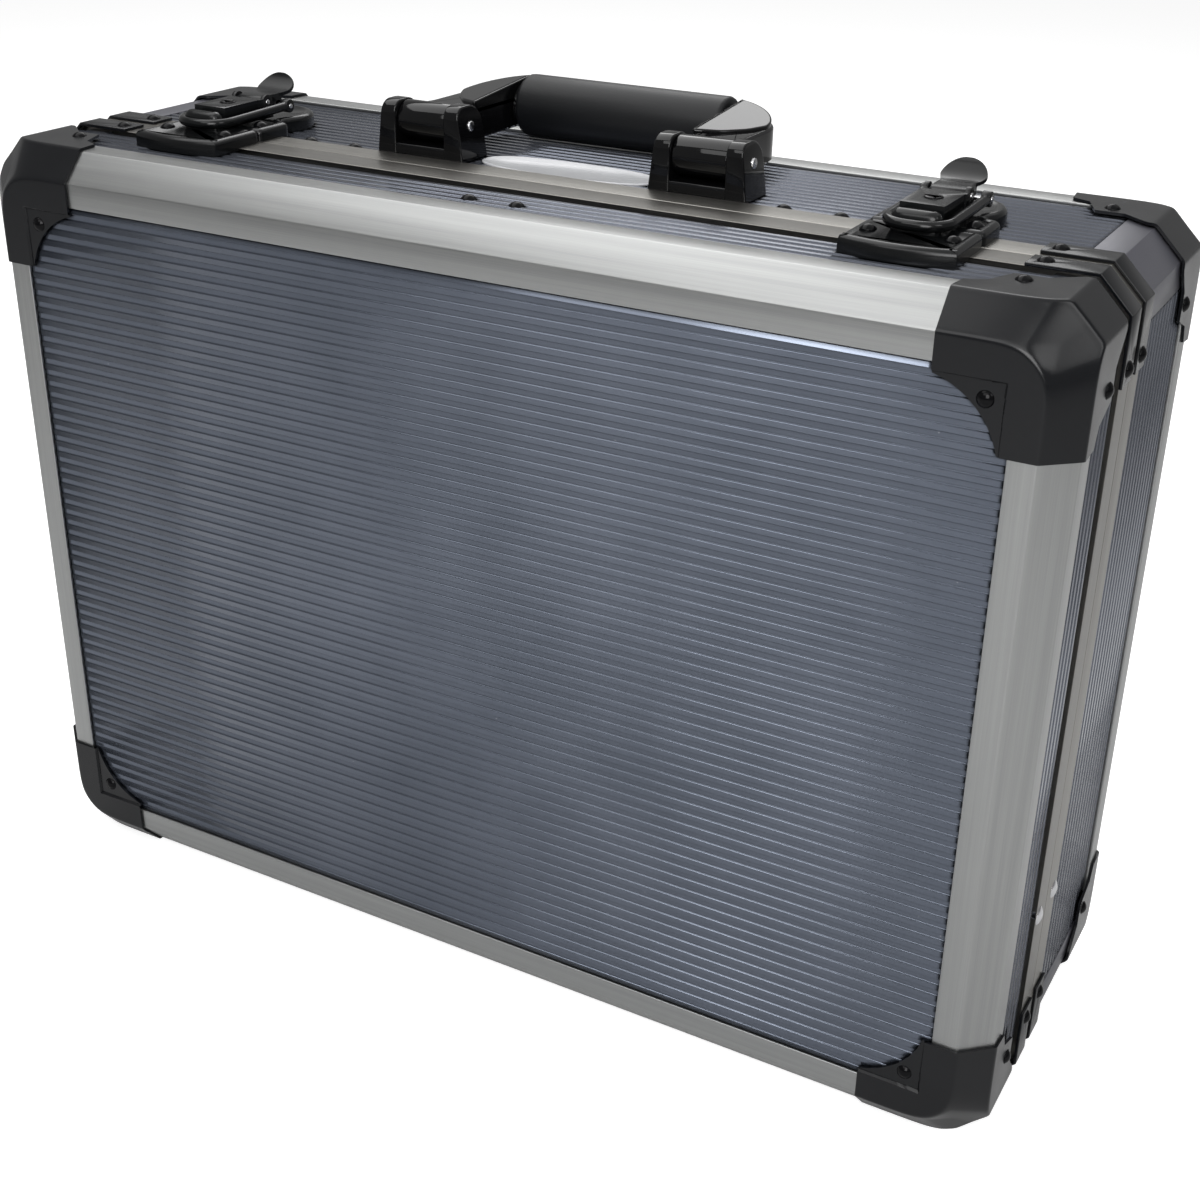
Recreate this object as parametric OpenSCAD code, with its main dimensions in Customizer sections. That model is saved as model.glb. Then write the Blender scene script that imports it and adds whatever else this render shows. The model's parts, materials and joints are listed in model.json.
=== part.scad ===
// Hard tool case that stands upright on its hinged edge.
// X runs along the width, Y from the lid (front) to the base (back), Z up.
// The origin is the middle of the footprint, where the corner guards touch the ground.

/* [Case] */
// Width of the case across its two ends
body_w = 460; // [440:5:700]
// Height of the case from its hinged edge to its latched edge
body_h = 330; // [260:5:500]
// Depth of the lid, from its face to the split
lid_d = 63; // [60:1:120]
// Depth of the base, from the split to its back
base_d = 103; // [100:1:180]
// Gap between the two rims
split_gap = 0.4; // [0.3:0.1:0.8]

/* [Edge profiles] */
// Width of the flat band around each face
face_band = 9.8; // [7:0.2:14]
// Width of the sloping band, measured across the face
chamfer_face = 11.3; // [9:0.1:13]
// Depth of the sloping band, measured along the sides
chamfer_depth = 10.2; // [9:0.1:11]
// Width of the flat band on the sides
side_band = 11.3; // [9:0.1:13]
// Leg of the 45 degree cut at the four corners of the outline
corner_cut = 11.3; // [10:0.1:12]
// Metal thickness of the edge profiles
edge_t = 1.6; // [1.4:0.1:2]

/* [Panels and lining] */
// Thickness of the two big panels
panel_t = 3; // [2.5:0.5:4]
// Thickness of the side walls
wall_t = 4; // [3.5:0.5:5]
// Distance from one rib to the next
rib_pitch = 5; // [4:0.5:6]
// Height of the ribs
rib_h = 0.6; // [0.4:0.1:0.8]
// Length of the smooth bent sheet on each side of a base corner
cover_leg = 23; // [20:1:30]
// How far the bent sheet stands above the wall
cover_rise = 0.8; // [0.4:0.1:1.2]
// Thickness of the lining
lining_t = 2; // [1.5:0.5:3]

/* [Rims] */
// Width of each rim, from the split
rim_w = 14; // [13:0.5:18]
// Thickness of the tongue that keys the rims together
tongue_t = 1.2; // [1:0.1:1.6]
// How far the tongue stands out of the base
tongue_reach = 3; // [2:0.5:4]

/* [Corner guards] */
// Sheet thickness of the guards and clips
guard_t = 1.2; // [1:0.1:1.5]
// Length of each guard along the case's edges
guard_leg = 48; // [44:1:56]
// How far a guard reaches from the face towards the split
guard_reach = 42; // [40:1:44]
// Radius of the hollow inner edge of a guard
guard_arc_r = 32.5; // [28:0.5:34]
// Distance of that arc's centre from the case's sides
guard_arc_at = 56; // [54:1:60]
// Distance of the guard's face rivet from the case's sides
guard_rivet_at = 30; // [29:0.5:31]
// Distance of the guard's side rivets from the case's face
guard_rivet_in = 28; // [27:0.5:29]
// Size of the sloping corner facet, measured across the face
facet_face = 31; // [29:1:33]
// Depth of the sloping corner facet
facet_depth = 13.5; // [12:0.5:14]
// Length of each leg of a rim clip
clip_leg = 36; // [32:1:42]
// Distance of a rim clip from the split
clip_from_split = 3; // [2.8:0.1:3.5]
// Width of a rim clip
clip_w = 12; // [10:0.5:13]

/* [Rivets] */
// Radius of a rivet's head
rivet_r = 3; // [2.5:0.1:3.3]
// Height of a rivet's head
rivet_h = 1.6; // [1.2:0.1:2]
// Radius of a rivet's shank
shank_r = 1.6; // [1.2:0.1:2]

/* [Latches] */
// Distance of each latch's middle from the case's nearer end
latch_from_end = 75.5; // [70:0.5:80]
// Width of the latch plates
plate_w = 42; // [40:1:46]
// Height of the latch plates
plate_h = 5; // [4.5:0.1:5.5]
// Sheet thickness of the latch plates
plate_t = 1.2; // [1:0.1:1.5]
// Length of the hook plate from the split
hook_len = 28; // [27:0.5:30]
// How far the hook plate's front edge bows out
hook_bow = 3.5; // [2.5:0.5:4.5]
// Width of the nose that the bail hooks over
nose_w = 17.5; // [16:0.5:17.5]
// Distance of the nose's front from the split
nose_front = 13; // [12:0.5:14]
// Length of the nose from front to back
nose_len = 7; // [6:0.5:8]
// Height of the nose above the case
nose_h = 12.2; // [12:0.1:13]
// Width of the lock housing
housing_w = 16; // [15:0.5:16]
// Height of the lock housing above the case
housing_h = 13.3; // [13:0.1:13.6]
// Radius of the rear end of the latch plate
plate_end_r = 17.5; // [16:0.5:19]
// Distance of that rear end's centre from the split
plate_end_at = 35; // [34:0.5:38]
// Distance of the lever's pin from the split
lever_pin_y = 21.5; // [21:0.1:22]
// Height of the lever's pin above the case
lever_pin_z = 11.5; // [11.3:0.1:11.7]
// Radius of the lever's pin
lever_pin_r = 1.2; // [1:0.1:1.4]
// Distance of the bail's pin from the split
bail_pin_y = 31; // [30.5:0.1:31.5]
// Height of the bail's pin above the case
bail_pin_z = 9; // [8.8:0.1:9.2]
// Radius of the bail's pin
bail_pin_r = 1; // [0.9:0.1:1.1]
// Radius of the bail's wire
wire_r = 1.9; // [1.7:0.1:2]
// Width of the lever
lever_w = 13; // [12:0.5:13]
// Length of the lever's thumb tab
tab_len = 15; // [12:0.5:18]
// Height of the thumb tab's tip above the case
tab_h = 19; // [17:0.5:21]
// Radius of the key cylinder's face
key_r = 3.4; // [3:0.1:3.6]

/* [Handle] */
// Sideways place of the handle, badge and top rivets on the base
handle_x = -1.8; // [-3:0.1:3]
// Distance of each bracket from the middle of the handle
bracket_x = 62; // [60:0.5:66]
// Width of a bracket at its foot
bracket_w = 41; // [40:1:44]
// Depth of a bracket at its foot
bracket_d = 18.7; // [18:0.1:20]
// Thickness of each bracket's ears at their foot
ear_t = 9; // [8.5:0.5:9]
// How far the ears' outer sides lean in towards their tops
ear_lean = 2.5; // [1.5:0.5:3]
// Height of the ears above the case
ear_h = 20.5; // [20:0.1:21]
// Distance of the handle's pin behind the split
handle_pin_y = 23; // [22.8:0.1:23.4]
// Height of the handle's pin above the case
handle_pin_z = 12.5; // [12.3:0.1:12.8]
// Radius of the handle's pins
handle_pin_r = 2; // [1.6:0.1:2.2]
// Length of the grip
grip_len = 94; // [90:1:95]
// Radius of the grip
grip_r = 12.7; // [12:0.1:12.8]
// Radius of the handle's core inside the grip
core_r = 5; // [4:0.5:6]
// Radius of the collar at each end of the grip
collar_r = 9.5; // [8:0.5:11]
// Distance of the grip's axis behind the handle's pin
grip_out = 52; // [50:1:56]

/* [Badge] */
// Length of the oval badge plate
badge_w = 78; // [60:1:80]
// Width of the oval badge plate
badge_d = 26; // [20:1:26]

/* [Hinges] */
// Distance of each hinge's middle from the case's nearer end
hinge_from_end = 110; // [100:5:130]
// Length of each hinge
hinge_len = 70; // [50:5:80]
// Height of the hinge axis above the case's bottom
hinge_rise = 1.2; // [1.2:0.1:1.3]
// Radius of the hinge knuckles
knuckle_r = 2.2; // [2:0.1:2.2]
// Radius of the hinge pin
hinge_pin_r = 1; // [0.8:0.1:1.2]
// Width of each hinge leaf
leaf_w = 11; // [9:0.5:12]
// Thickness of each hinge leaf
leaf_t = 1; // [0.8:0.1:1.2]

/* [Lid stays] */
// Distance of each stay's rivets from the split
stay_off = 10; // [9.5:0.1:10.5]
// Height of the stays' rivets above the case's bottom
stay_up = 80; // [70:1:90]
// Lid angle at which the stays would be straight
stay_straight = 100; // [98:1:110]
// Width of the stay links
link_w = 9; // [8:0.5:10]
// Thickness of the stay links
link_t = 1.5; // [1.2:0.1:1.8]
// Radius of the stays' rivets
stay_pin_r = 2; // [1.6:0.1:2.4]

/* [Fits] */
// Radial clearance of a pin in its bore
pin_fit = 0.06; // [0.03:0.01:0.09]
// Clearance between pieces that move past each other
run_gap = 0.4; // [0.3:0.05:0.5]

/* [Hidden] */
$fn = 48;

// Places in the case's frame
bottom = guard_t;
top = bottom + body_h;
mid_z = bottom + body_h / 2;
half_w = body_w / 2;
half_h = body_h / 2;
split_y = (lid_d - base_d) / 2;
lid_face_y = split_y - lid_d;
base_face_y = split_y + base_d;
hinge_z = bottom + hinge_rise;
latch_x = half_w - latch_from_end;
hinge_x = half_w - hinge_from_end;
eps = 0.01;
far = 60;

// Sections of the edge profiles: the inner lines run edge_t inside the outer ones
chamfer_norm = sqrt(1 / pow(chamfer_face, 2) + 1 / pow(chamfer_depth, 2));
inner_face = chamfer_face * (1 + edge_t * chamfer_norm - edge_t / chamfer_depth);
inner_depth = chamfer_depth * (1 + edge_t * chamfer_norm - edge_t / chamfer_face);
edge_end = facet_face + 3;
wall_start = chamfer_depth + 3.8;
shell_t = edge_t + wall_t;
rib_w = rib_pitch / 2;
rib_level = edge_t - rib_h;

// Latch levels above the case's top, and the bail's reach
bail_half = housing_w / 2 + run_gap + wire_r + 1;
bail_front = nose_front + run_gap + wire_r;
bail_low = plate_h + wire_r + 1.1;
lever_eye_r = lever_pin_r + 1;
lever_top = lever_pin_z + lever_eye_r;
plate_rivet_x = plate_w / 2 - 6;
hook_rivets = [[-plate_rivet_x, -15], [plate_rivet_x, -15]];
plate_rivets = [[-plate_rivet_x, 8], [plate_rivet_x, 8]];

// Lock housing: it starts behind the nose and ends before the lever
housing_front = nose_len - nose_front + run_gap;
housing_rear = lever_pin_y - lever_eye_r - run_gap - 0.2;
ear_inner = lever_w / 2 + 0.3;
ear_outer = housing_w / 2 + 0.6;
ear_round = lever_pin_r + 2;
key_y = (housing_front + housing_rear) / 2 - 0.5;
key_floor = plate_h + 1.5;
key_proud = 0.4;

// Handle brackets: they stand right behind the rim
bracket_front = rim_w + 0.3;
pocket_floor = 4;
barrel_half = bracket_w / 2 - ear_t - 0.3;
barrel_r = handle_pin_z - pocket_floor - 1;

// The folded handle's grip lies just above the ribs
grip_y = handle_pin_y + grip_out;
grip_z = grip_r - 0.2;

// Places of the rivets on the case's top, as [x, distance from the split]
lid_rivet_x = 10.4;
lid_rivet_y = -32;
lid_top_rivets = [[-lid_rivet_x, lid_rivet_y], [lid_rivet_x, lid_rivet_y]];
near_rivet_x = 96.5;
far_rivet_x = 119;
base_rivet_y = bracket_front + rivet_r - 0.1;
base_top_rivets = [for (x = [-far_rivet_x, -near_rivet_x, near_rivet_x, far_rivet_x])
                   [handle_x + x, base_rivet_y]];

// Corner rivets: how deep their shanks reach below a guard or clip
side_shank = guard_t + edge_t + wall_t / 2;
face_shank = guard_t + rib_h + panel_t / 2;
guard_low = chamfer_face + face_band + 2.5;
clip_rivet_at = clip_leg - rivet_r - 2.5;
shank_in = 2.5;
board_gap = 0.2;

// Length of a stay link: the two links are straight at stay_straight
stay_rise = stay_up - hinge_rise;
stay_radius = sqrt(pow(stay_off, 2) + pow(stay_rise, 2));
stay_length = stay_radius * sin(stay_straight / 2 + atan(stay_off / stay_rise));
knee_z = bottom + stay_up + sqrt(pow(stay_length, 2) - pow(stay_off, 2));
stay_gap = 0.5;
lid_link_x = half_w - shell_t - lining_t - stay_gap - link_t;
base_link_x = lid_link_x - stay_gap - link_t;

// ---------- Helpers ----------

// Mirrors its children along one axis when asked to
module flip(on, axis) {
  if (on) mirror(axis) children();
  else children();
}

// Extrudes an outline drawn in X and Z from y0 to y1
module slab_y(y0, y1) {
  translate([0, y1, 0]) rotate([90, 0, 0]) linear_extrude(height = y1 - y0) children();
}

// Extrudes an outline drawn in Y and Z from x0 to x1
module slab_x(x0, x1) {
  translate([x0, 0, 0]) rotate([90, 0, 90]) linear_extrude(height = x1 - x0) children();
}

// The case's outline seen from the front, drawn in by inset, with its corners cut at 45 degrees
module outline(inset) {
  w = half_w - inset;
  h = half_h - inset;
  c = corner_cut - (2 - sqrt(2)) * inset;
  translate([0, mid_z])
    polygon([[w - c, h], [w, h - c], [w, c - h], [w - c, -h],
             [c - w, -h], [-w, c - h], [-w, h - c], [c - w, h]]);
}

// Places children measured inward from a face: lid when back is false, base when it is true
module from_face(back) {
  translate([0, back ? base_face_y : lid_face_y, 0]) flip(back, [0, 1, 0]) children();
}

// Places children measured inward from one corner of one face
module at_corner(right, upper, back) {
  translate([right ? half_w : -half_w, 0, upper ? top : bottom])
    from_face(back) flip(right, [1, 0, 0]) flip(upper, [0, 0, 1]) children();
}

// Places children on the case's top, at a latch or bracket, measured from the split
module on_top(x) {
  translate([x, split_y, top]) children();
}

module pin_x(x0, x1, y, z, r) {
  translate([x0, y, z]) rotate([0, 90, 0]) cylinder(r = r, h = x1 - x0);
}

// Rivet with a domed head, standing on the plane z = 0, with a shank below it
module rivet(shank) {
  dome_r = (pow(rivet_r, 2) + pow(rivet_h, 2)) / (2 * rivet_h);
  intersection() {
    translate([0, 0, rivet_h - dome_r]) sphere(r = dome_r);
    cylinder(r = rivet_r + 1, h = rivet_h + 1);
  }
  translate([0, 0, -shank]) cylinder(r = shank_r, h = shank + eps);
}

// ---------- Panels ----------

// Big panel whose edges lie under the profiles; its ribs fill the field between them
module ribbed_panel(back) {
  w = half_w - inner_face - 0.3;
  h = half_h - inner_face - 0.3;
  cut = edge_end - inner_face;
  field = half_h - chamfer_face - face_band;
  count = floor((2 * field - rib_w) / rib_pitch);
  reach = half_w - chamfer_face - face_band - run_gap;
  difference() {
    from_face(back) {
      slab_y(edge_t, edge_t + panel_t) translate([0, mid_z])
        polygon([[w - cut, h], [w, h - cut], [w, cut - h], [w - cut, -h],
                 [cut - w, -h], [-w, cut - h], [-w, h - cut], [cut - w, h]]);
      for (i = [0 : count])
        translate([-reach, rib_level, mid_z + (i - count / 2) * rib_pitch - rib_w / 2])
          cube([2 * reach, rib_h + eps, rib_w]);
    }
    corner_bores(back);
  }
}

module lid_face_panel() {
  color("#5a606b") ribbed_panel(false);
}

module base_back_panel() {
  color("#5a606b") ribbed_panel(true);
}

// ---------- Edge profiles ----------

module edge_bar(length) {
  linear_extrude(height = length, center = true)
    polygon([[chamfer_face, 0], [chamfer_face + face_band, 0], [chamfer_face + face_band, edge_t],
             [inner_face, edge_t], [edge_t, inner_depth], [edge_t, chamfer_depth + side_band],
             [0, chamfer_depth + side_band], [0, chamfer_depth]]);
}

// Places one bar along each edge of a face: the first child upright, the second lying
module on_edges() {
  for (right = [false, true])
    translate([right ? half_w : -half_w, 0, mid_z]) flip(right, [1, 0, 0]) children(0);
  for (upper = [false, true])
    translate([0, 0, upper ? top : bottom]) flip(!upper, [0, 0, 1])
      rotate([0, 90, 0]) children(1);
}

module edge_profiles(back) {
  from_face(back) on_edges() {
    edge_bar(body_h - 2 * edge_end);
    edge_bar(body_w - 2 * edge_end);
  }
}

module lid_edge_profiles() {
  color("#a8aaa8") edge_profiles(false);
}

module base_edge_profiles() {
  color("#a8aaa8") edge_profiles(true);
}

// ---------- Side walls ----------

module wall_ring(depth) {
  slab_y(wall_start, depth - rim_w) difference() {
    outline(edge_t);
    outline(shell_t);
  }
}

// Keeps the stretch of the ring on one side; keep_corners leaves the cut corners on it
module wall_side(side, depth, keep_corners) {
  inner = half_w - cover_leg;
  reach = keep_corners ? half_h : half_h - cover_leg;
  intersection() {
    wall_ring(depth);
    if (side == "left" || side == "right")
      translate([side == "left" ? -half_w - 1 : inner, 0, mid_z - reach])
        cube([cover_leg + 1, depth, 2 * reach]);
    else
      translate([-inner, 0, side == "top" ? mid_z : bottom - 1]) cube([2 * inner, depth, half_h + 1]);
  }
}

// Ribs lie between the edge profile's side band and the rim
module wall_ribs(side, depth) {
  start = chamfer_depth + side_band + run_gap;
  field = depth - rim_w - start;
  count = floor((field - rib_w) / rib_pitch);
  first = start + (field - count * rib_pitch - rib_w) / 2;
  for (i = [0 : count])
    translate([0, first + i * rib_pitch, 0])
      if (side == "left")
        translate([-half_w + rib_level, 0, mid_z - half_h + cover_leg])
          cube([rib_h + eps, rib_w, body_h - 2 * cover_leg]);
      else if (side == "right")
        translate([half_w - edge_t - eps, 0, mid_z - half_h + cover_leg])
          cube([rib_h + eps, rib_w, body_h - 2 * cover_leg]);
      else if (side == "top")
        translate([-half_w + cover_leg, 0, top - edge_t - eps])
          cube([body_w - 2 * cover_leg, rib_w, rib_h + eps]);
      else
        translate([-half_w + cover_leg, 0, bottom + rib_level])
          cube([body_w - 2 * cover_leg, rib_w, rib_h + eps]);
}

module lid_wall(side) {
  color("#666a75") difference() {
    from_face(false) {
      wall_side(side, lid_d, true);
      wall_ribs(side, lid_d);
    }
    corner_bores(false);
  }
}

module base_wall(side) {
  color("#666a75") difference() {
    from_face(true) {
      wall_side(side, base_d, false);
      wall_ribs(side, base_d);
    }
    corner_bores(true);
  }
}

// Smooth bent sheet around each corner of the base, between the ribs and the guard
module base_corner_covers() {
  color("#6b6e79") difference() {
    from_face(true) intersection() {
      union() {
        slab_y(wall_start, base_d - rim_w) difference() {
          outline(edge_t);
          outline(shell_t);
        }
        slab_y(chamfer_depth + side_band + run_gap, base_d - rim_w) difference() {
          outline(edge_t - cover_rise);
          outline(edge_t + eps);
        }
      }
      for (right = [false, true], upper = [false, true])
        translate([right ? half_w - cover_leg : -half_w, 0, upper ? top - cover_leg : bottom])
          cube([cover_leg, base_d, cover_leg]);
    }
    corner_bores(true);
  }
}

// ---------- Rims ----------

// Room for the hinge knuckles in both rims, along the whole bottom edge
module hinge_groove() {
  pin_x(-half_w, half_w, split_y, hinge_z, knuckle_r + 0.3);
}

// Pocket for one leaf in a rim's underside
module leaf_pockets(back) {
  for (x = [-hinge_x, hinge_x])
    translate([x - hinge_len / 2 - 0.1, back ? split_y : split_y - leaf_w - 0.1, bottom - eps])
      cube([hinge_len + 0.2, leaf_w + 0.1, leaf_t + eps]);
}

module stay_bores(back) {
  for (right = [false, true]) {
    y = split_y + (back ? stay_off : -stay_off);
    x = right ? half_w - shell_t - 1 : -half_w - 1;
    pin_x(x, x + shell_t + 2, y, bottom + stay_up, stay_pin_r + pin_fit);
  }
}

module rim_ring(y0, y1) {
  slab_y(y0, y1) difference() {
    outline(0);
    outline(shell_t);
  }
}

module lid_rim() {
  color("#8d8686") difference() {
    rim_ring(split_y - rim_w, split_y - split_gap / 2);
    hinge_groove();
    leaf_pockets(false);
    stay_bores(false);
    corner_bores(false);
    slab_y(split_y - tongue_reach - run_gap, split_y) difference() {
      outline(shell_t - tongue_t - 2 * run_gap);
      translate([-half_w, 0]) square([body_w, bottom + cover_leg]);
    }
  }
}

module base_rim() {
  color("#8d8686") difference() {
    union() {
      rim_ring(split_y + split_gap / 2, split_y + rim_w);
      slab_y(split_y - tongue_reach, split_y + rim_w) difference() {
        outline(shell_t - tongue_t);
        outline(shell_t);
        translate([-half_w, 0]) square([body_w, bottom + cover_leg + run_gap]);
      }
    }
    hinge_groove();
    leaf_pockets(true);
    stay_bores(true);
    corner_bores(true);
  }
}

// ---------- Linings ----------

// Prisms that cut a lining's edges back from the slopes of the edge profiles
module lining_bevels(grow) {
  fall = (inner_depth - edge_t) / (inner_face - edge_t);
  x = inner_face + edge_t / fall + grow;
  y = inner_depth + edge_t * fall + grow;
  on_edges() {
    linear_extrude(height = body_h, center = true) polygon([[-1, 0], [x, 0], [0, y], [-1, y]]);
    linear_extrude(height = body_w, center = true) polygon([[-1, 0], [x, 0], [0, y], [-1, y]]);
  }
}

// Thin gaps between the boards of a lining whose back board ends at y
module board_gaps(w, h, c, y) {
  reach = 14;
  slab_y(y, y + board_gap) translate([0, mid_z]) square([body_w, body_h], center = true);
  slab_y(y, base_d) translate([0, mid_z]) for (sx = [-1, 1], sz = [-1, 1]) {
    translate([sx * w, sz * (h - c)]) square([2 * reach, board_gap], center = true);
    translate([sx * (w - c), sz * h]) square([board_gap, 2 * reach], center = true);
  }
}

// Lining of a back board, four wall boards and four corner boards; its corners are cut wide
// enough to stay behind the corner facets
module lining(depth) {
  w = half_w - shell_t;
  h = half_h - shell_t;
  t = lining_t;
  c = edge_end - shell_t;
  back_y = edge_t + panel_t;
  rim_y = depth - tongue_reach - 2;
  difference() {
    slab_y(back_y, rim_y) translate([0, mid_z])
      polygon([[w - c, h], [w, h - c], [w, c - h], [w - c, -h],
               [c - w, -h], [-w, c - h], [-w, h - c], [c - w, h]]);
    difference() {
      slab_y(back_y + t, rim_y + 1) translate([0, mid_z])
        polygon([[w - c, h - t], [w - t, h - c], [w - t, c - h], [w - c, t - h],
                 [c - w, t - h], [t - w, c - h], [t - w, h - c], [c - w, h - t]]);
      lining_bevels(1.4 * t);
    }
    for (right = [false, true])
      pin_x(right ? w - t - 1 : -w - 1, right ? w + 1 : t - w + 1, depth - stay_off,
            bottom + stay_up, stay_pin_r + pin_fit + 0.1);
    lining_bevels(0.4);
    board_gaps(w, h, c, back_y + t);
  }
}

module lid_lining() {
  color("#3c3e42") from_face(false) lining(lid_d);
}

module base_lining() {
  color("#3c3e42") from_face(true) lining(base_d);
}

// ---------- Corner guards ----------

// Half space x / a + y / b >= 1, moved outward by g, as a flat outline
module slope(a, b, g) {
  k = 1 - g * sqrt(1 / pow(a, 2) + 1 / pow(b, 2));
  m = 10;
  polygon([[a * (k + m / b), -m], [far, -m], [far, far], [-m, far], [-m, b * (k + m / a)]]);
}

// The case near one corner, grown by g: x and z run inward from the sides, y from the face
module corner_block(g) {
  diagonal = facet_face / sqrt(2);
  intersection() {
    translate([-g, -g, -g]) cube(far);
    translate([0, 0, -5]) linear_extrude(height = far + 5) slope(chamfer_face, chamfer_depth, g);
    translate([-5, 0, 0]) rotate([0, 90, 0]) mirror([1, 0, 0])
      linear_extrude(height = far + 5) slope(chamfer_face, chamfer_depth, g);
    slab_y(-5, far) slope(corner_cut, corner_cut, g);
    rotate([0, -45, 0]) translate([0, 0, -far]) linear_extrude(height = 2 * far)
      slope(diagonal, facet_depth / (1 - corner_cut / facet_face), g);
  }
}

// Outline of the guard's leg on one side: x runs along the leg, y from the face
module guard_side_outline() {
  step = guard_rivet_at + rivet_r + 2;
  polygon([[-3, chamfer_depth - 1], [guard_leg, chamfer_depth - 1],
           [guard_leg - 1, guard_rivet_in - rivet_r * 3], [step + 5, guard_rivet_in - rivet_r * 2],
           [step, guard_rivet_in + rivet_r + 3],
           [guard_rivet_at - rivet_r - 3, guard_rivet_in + rivet_r + 3],
           [corner_cut + 3, guard_reach], [-3, guard_reach]]);
}

// Outline of the guard on the face, with its hollow inner edge
module guard_face_outline() {
  difference() {
    translate([-3, -3]) square(guard_leg + 3);
    translate([guard_arc_at, guard_arc_at]) circle(r = guard_arc_r);
  }
}

module corner_guard() {
  difference() {
    union() {
      intersection() {
        difference() {
          corner_block(guard_t);
          corner_block(0);
          translate([guard_low, -3, guard_low]) cube(far);
        }
        union() {
          slab_y(-3, chamfer_depth) guard_face_outline();
          translate([0, 0, -3]) linear_extrude(height = 3.5) guard_side_outline();
          translate([0.5, 0, 0]) rotate([0, -90, 0]) linear_extrude(height = 3.5) guard_side_outline();
          translate([-3, 0, -3]) cube([corner_cut + 3, guard_reach, corner_cut + 3]);
        }
      }
      intersection() {
        translate([guard_low - 2, rib_level - guard_t, guard_low - 2]) cube([far, guard_t, far]);
        slab_y(-3, chamfer_depth) guard_face_outline();
      }
    }
    guard_bores();
  }
}

// Bores of one guard's rivets, long enough to cut the panel and walls below as well
module guard_bores() {
  r = shank_r + pin_fit;
  translate([guard_rivet_at, 0, guard_rivet_at]) rotate([90, 0, 0])
    cylinder(r = r, h = 12, center = true);
  translate([guard_rivet_at, guard_rivet_in, 0]) cylinder(r = r, h = 12, center = true);
  translate([0, guard_rivet_in, guard_rivet_at]) rotate([0, 90, 0])
    cylinder(r = r, h = 12, center = true);
}

// Rivet on a side of a corner; underneath, its head is sunk flush
module side_rivet(sunk) {
  if (sunk) translate([0, 0, -side_shank]) cylinder(r = shank_r, h = side_shank - 0.1);
  else rivet(side_shank);
}

// The three rivets of one guard
module guard_rivets(sunk) {
  translate([guard_rivet_at, rib_level - guard_t, guard_rivet_at]) rotate([90, 0, 0]) rivet(face_shank);
  translate([guard_rivet_at, guard_rivet_in, -guard_t]) rotate([180, 0, 0]) side_rivet(sunk);
  translate([-guard_t, guard_rivet_in, guard_rivet_at]) rotate([0, -90, 0]) side_rivet(false);
}

module guard(right, upper, back) {
  color("#2b2c31") at_corner(right, upper, back) corner_guard();
}

// ---------- Rim clips ----------

// Bent strip over one rim at one corner, measured from that corner, y from the face
module rim_clip(depth) {
  y1 = depth - clip_from_split;
  difference() {
    intersection() {
      difference() {
        translate([-guard_t, y1 - clip_w, -guard_t]) cube([far, clip_w, far]);
        translate([0, y1 - clip_w - 1, 0]) cube([far, clip_w + 2, far]);
      }
      translate([-3, 0, -3]) cube([clip_leg + 3, depth, clip_leg + 3]);
      slab_y(0, depth) slope(corner_cut, corner_cut, guard_t);
    }
    clip_bores(depth);
  }
  difference() {
    intersection() {
      slab_y(y1 - clip_w, y1) slope(corner_cut, corner_cut, guard_t);
      translate([-guard_t, 0, -guard_t]) cube([corner_cut + guard_t, depth, corner_cut + guard_t]);
    }
    slab_y(y1 - clip_w - 1, y1 + 1) slope(corner_cut, corner_cut, 0);
  }
}

module clip_bores(depth) {
  y = depth - clip_from_split - clip_w / 2;
  translate([clip_rivet_at, y, 0]) cylinder(r = shank_r + pin_fit, h = 12, center = true);
  translate([0, y, clip_rivet_at]) rotate([0, 90, 0])
    cylinder(r = shank_r + pin_fit, h = 12, center = true);
}

module clip_rivets(depth, sunk) {
  y = depth - clip_from_split - clip_w / 2;
  translate([clip_rivet_at, y, -guard_t]) rotate([180, 0, 0]) side_rivet(sunk);
  translate([-guard_t, y, clip_rivet_at]) rotate([0, -90, 0]) side_rivet(false);
}

module rim_clips(back) {
  color("#2b2c31") for (right = [false, true], upper = [false, true])
    at_corner(right, upper, back) rim_clip(back ? base_d : lid_d);
}

module lid_rim_clips() {
  rim_clips(false);
}

module base_rim_clips() {
  rim_clips(true);
}

module corner_rivets(back) {
  for (right = [false, true], upper = [false, true])
    at_corner(right, upper, back) {
      guard_rivets(!upper);
      clip_rivets(back ? base_d : lid_d, !upper);
    }
}

// The same rivets' bores through whatever lies below the guards and clips
module corner_bores(back) {
  for (right = [false, true], upper = [false, true])
    at_corner(right, upper, back) {
      guard_bores();
      clip_bores(back ? base_d : lid_d);
    }
}

// ---------- Rivets on the top ----------

module top_rivets(places) {
  for (p = places) translate([p[0], split_y + p[1], top - rib_level]) rivet(shank_in);
}

module top_bores(places) {
  for (p = places)
    translate([p[0], split_y + p[1], top - rib_level - shank_in])
      cylinder(r = shank_r + pin_fit, h = shank_in + 2);
}

module lid_wall_top() {
  color("#666a75") difference() {
    lid_wall("top");
    top_bores(lid_top_rivets);
  }
}

module base_wall_top() {
  color("#666a75") difference() {
    base_wall("top");
    top_bores(base_top_rivets);
  }
}

module lid_rivets() {
  color("#222226") {
    corner_rivets(false);
    top_rivets(lid_top_rivets);
    for (side = [-1, 1]) on_top(side * latch_x) plate_rivet_set(hook_rivets);
  }
}

module base_rivets() {
  color("#222226") {
    corner_rivets(true);
    top_rivets(base_top_rivets);
    for (side = [-1, 1]) on_top(side * latch_x) plate_rivet_set(plate_rivets);
  }
}

// ---------- Latches ----------

module plate_rivet_set(places) {
  for (p = places) translate([p[0], p[1], plate_h]) rivet(plate_t);
}

module plate_bores(places) {
  for (p = places) translate([p[0], p[1], 0]) cylinder(r = shank_r + pin_fit, h = plate_h + 1);
}

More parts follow.
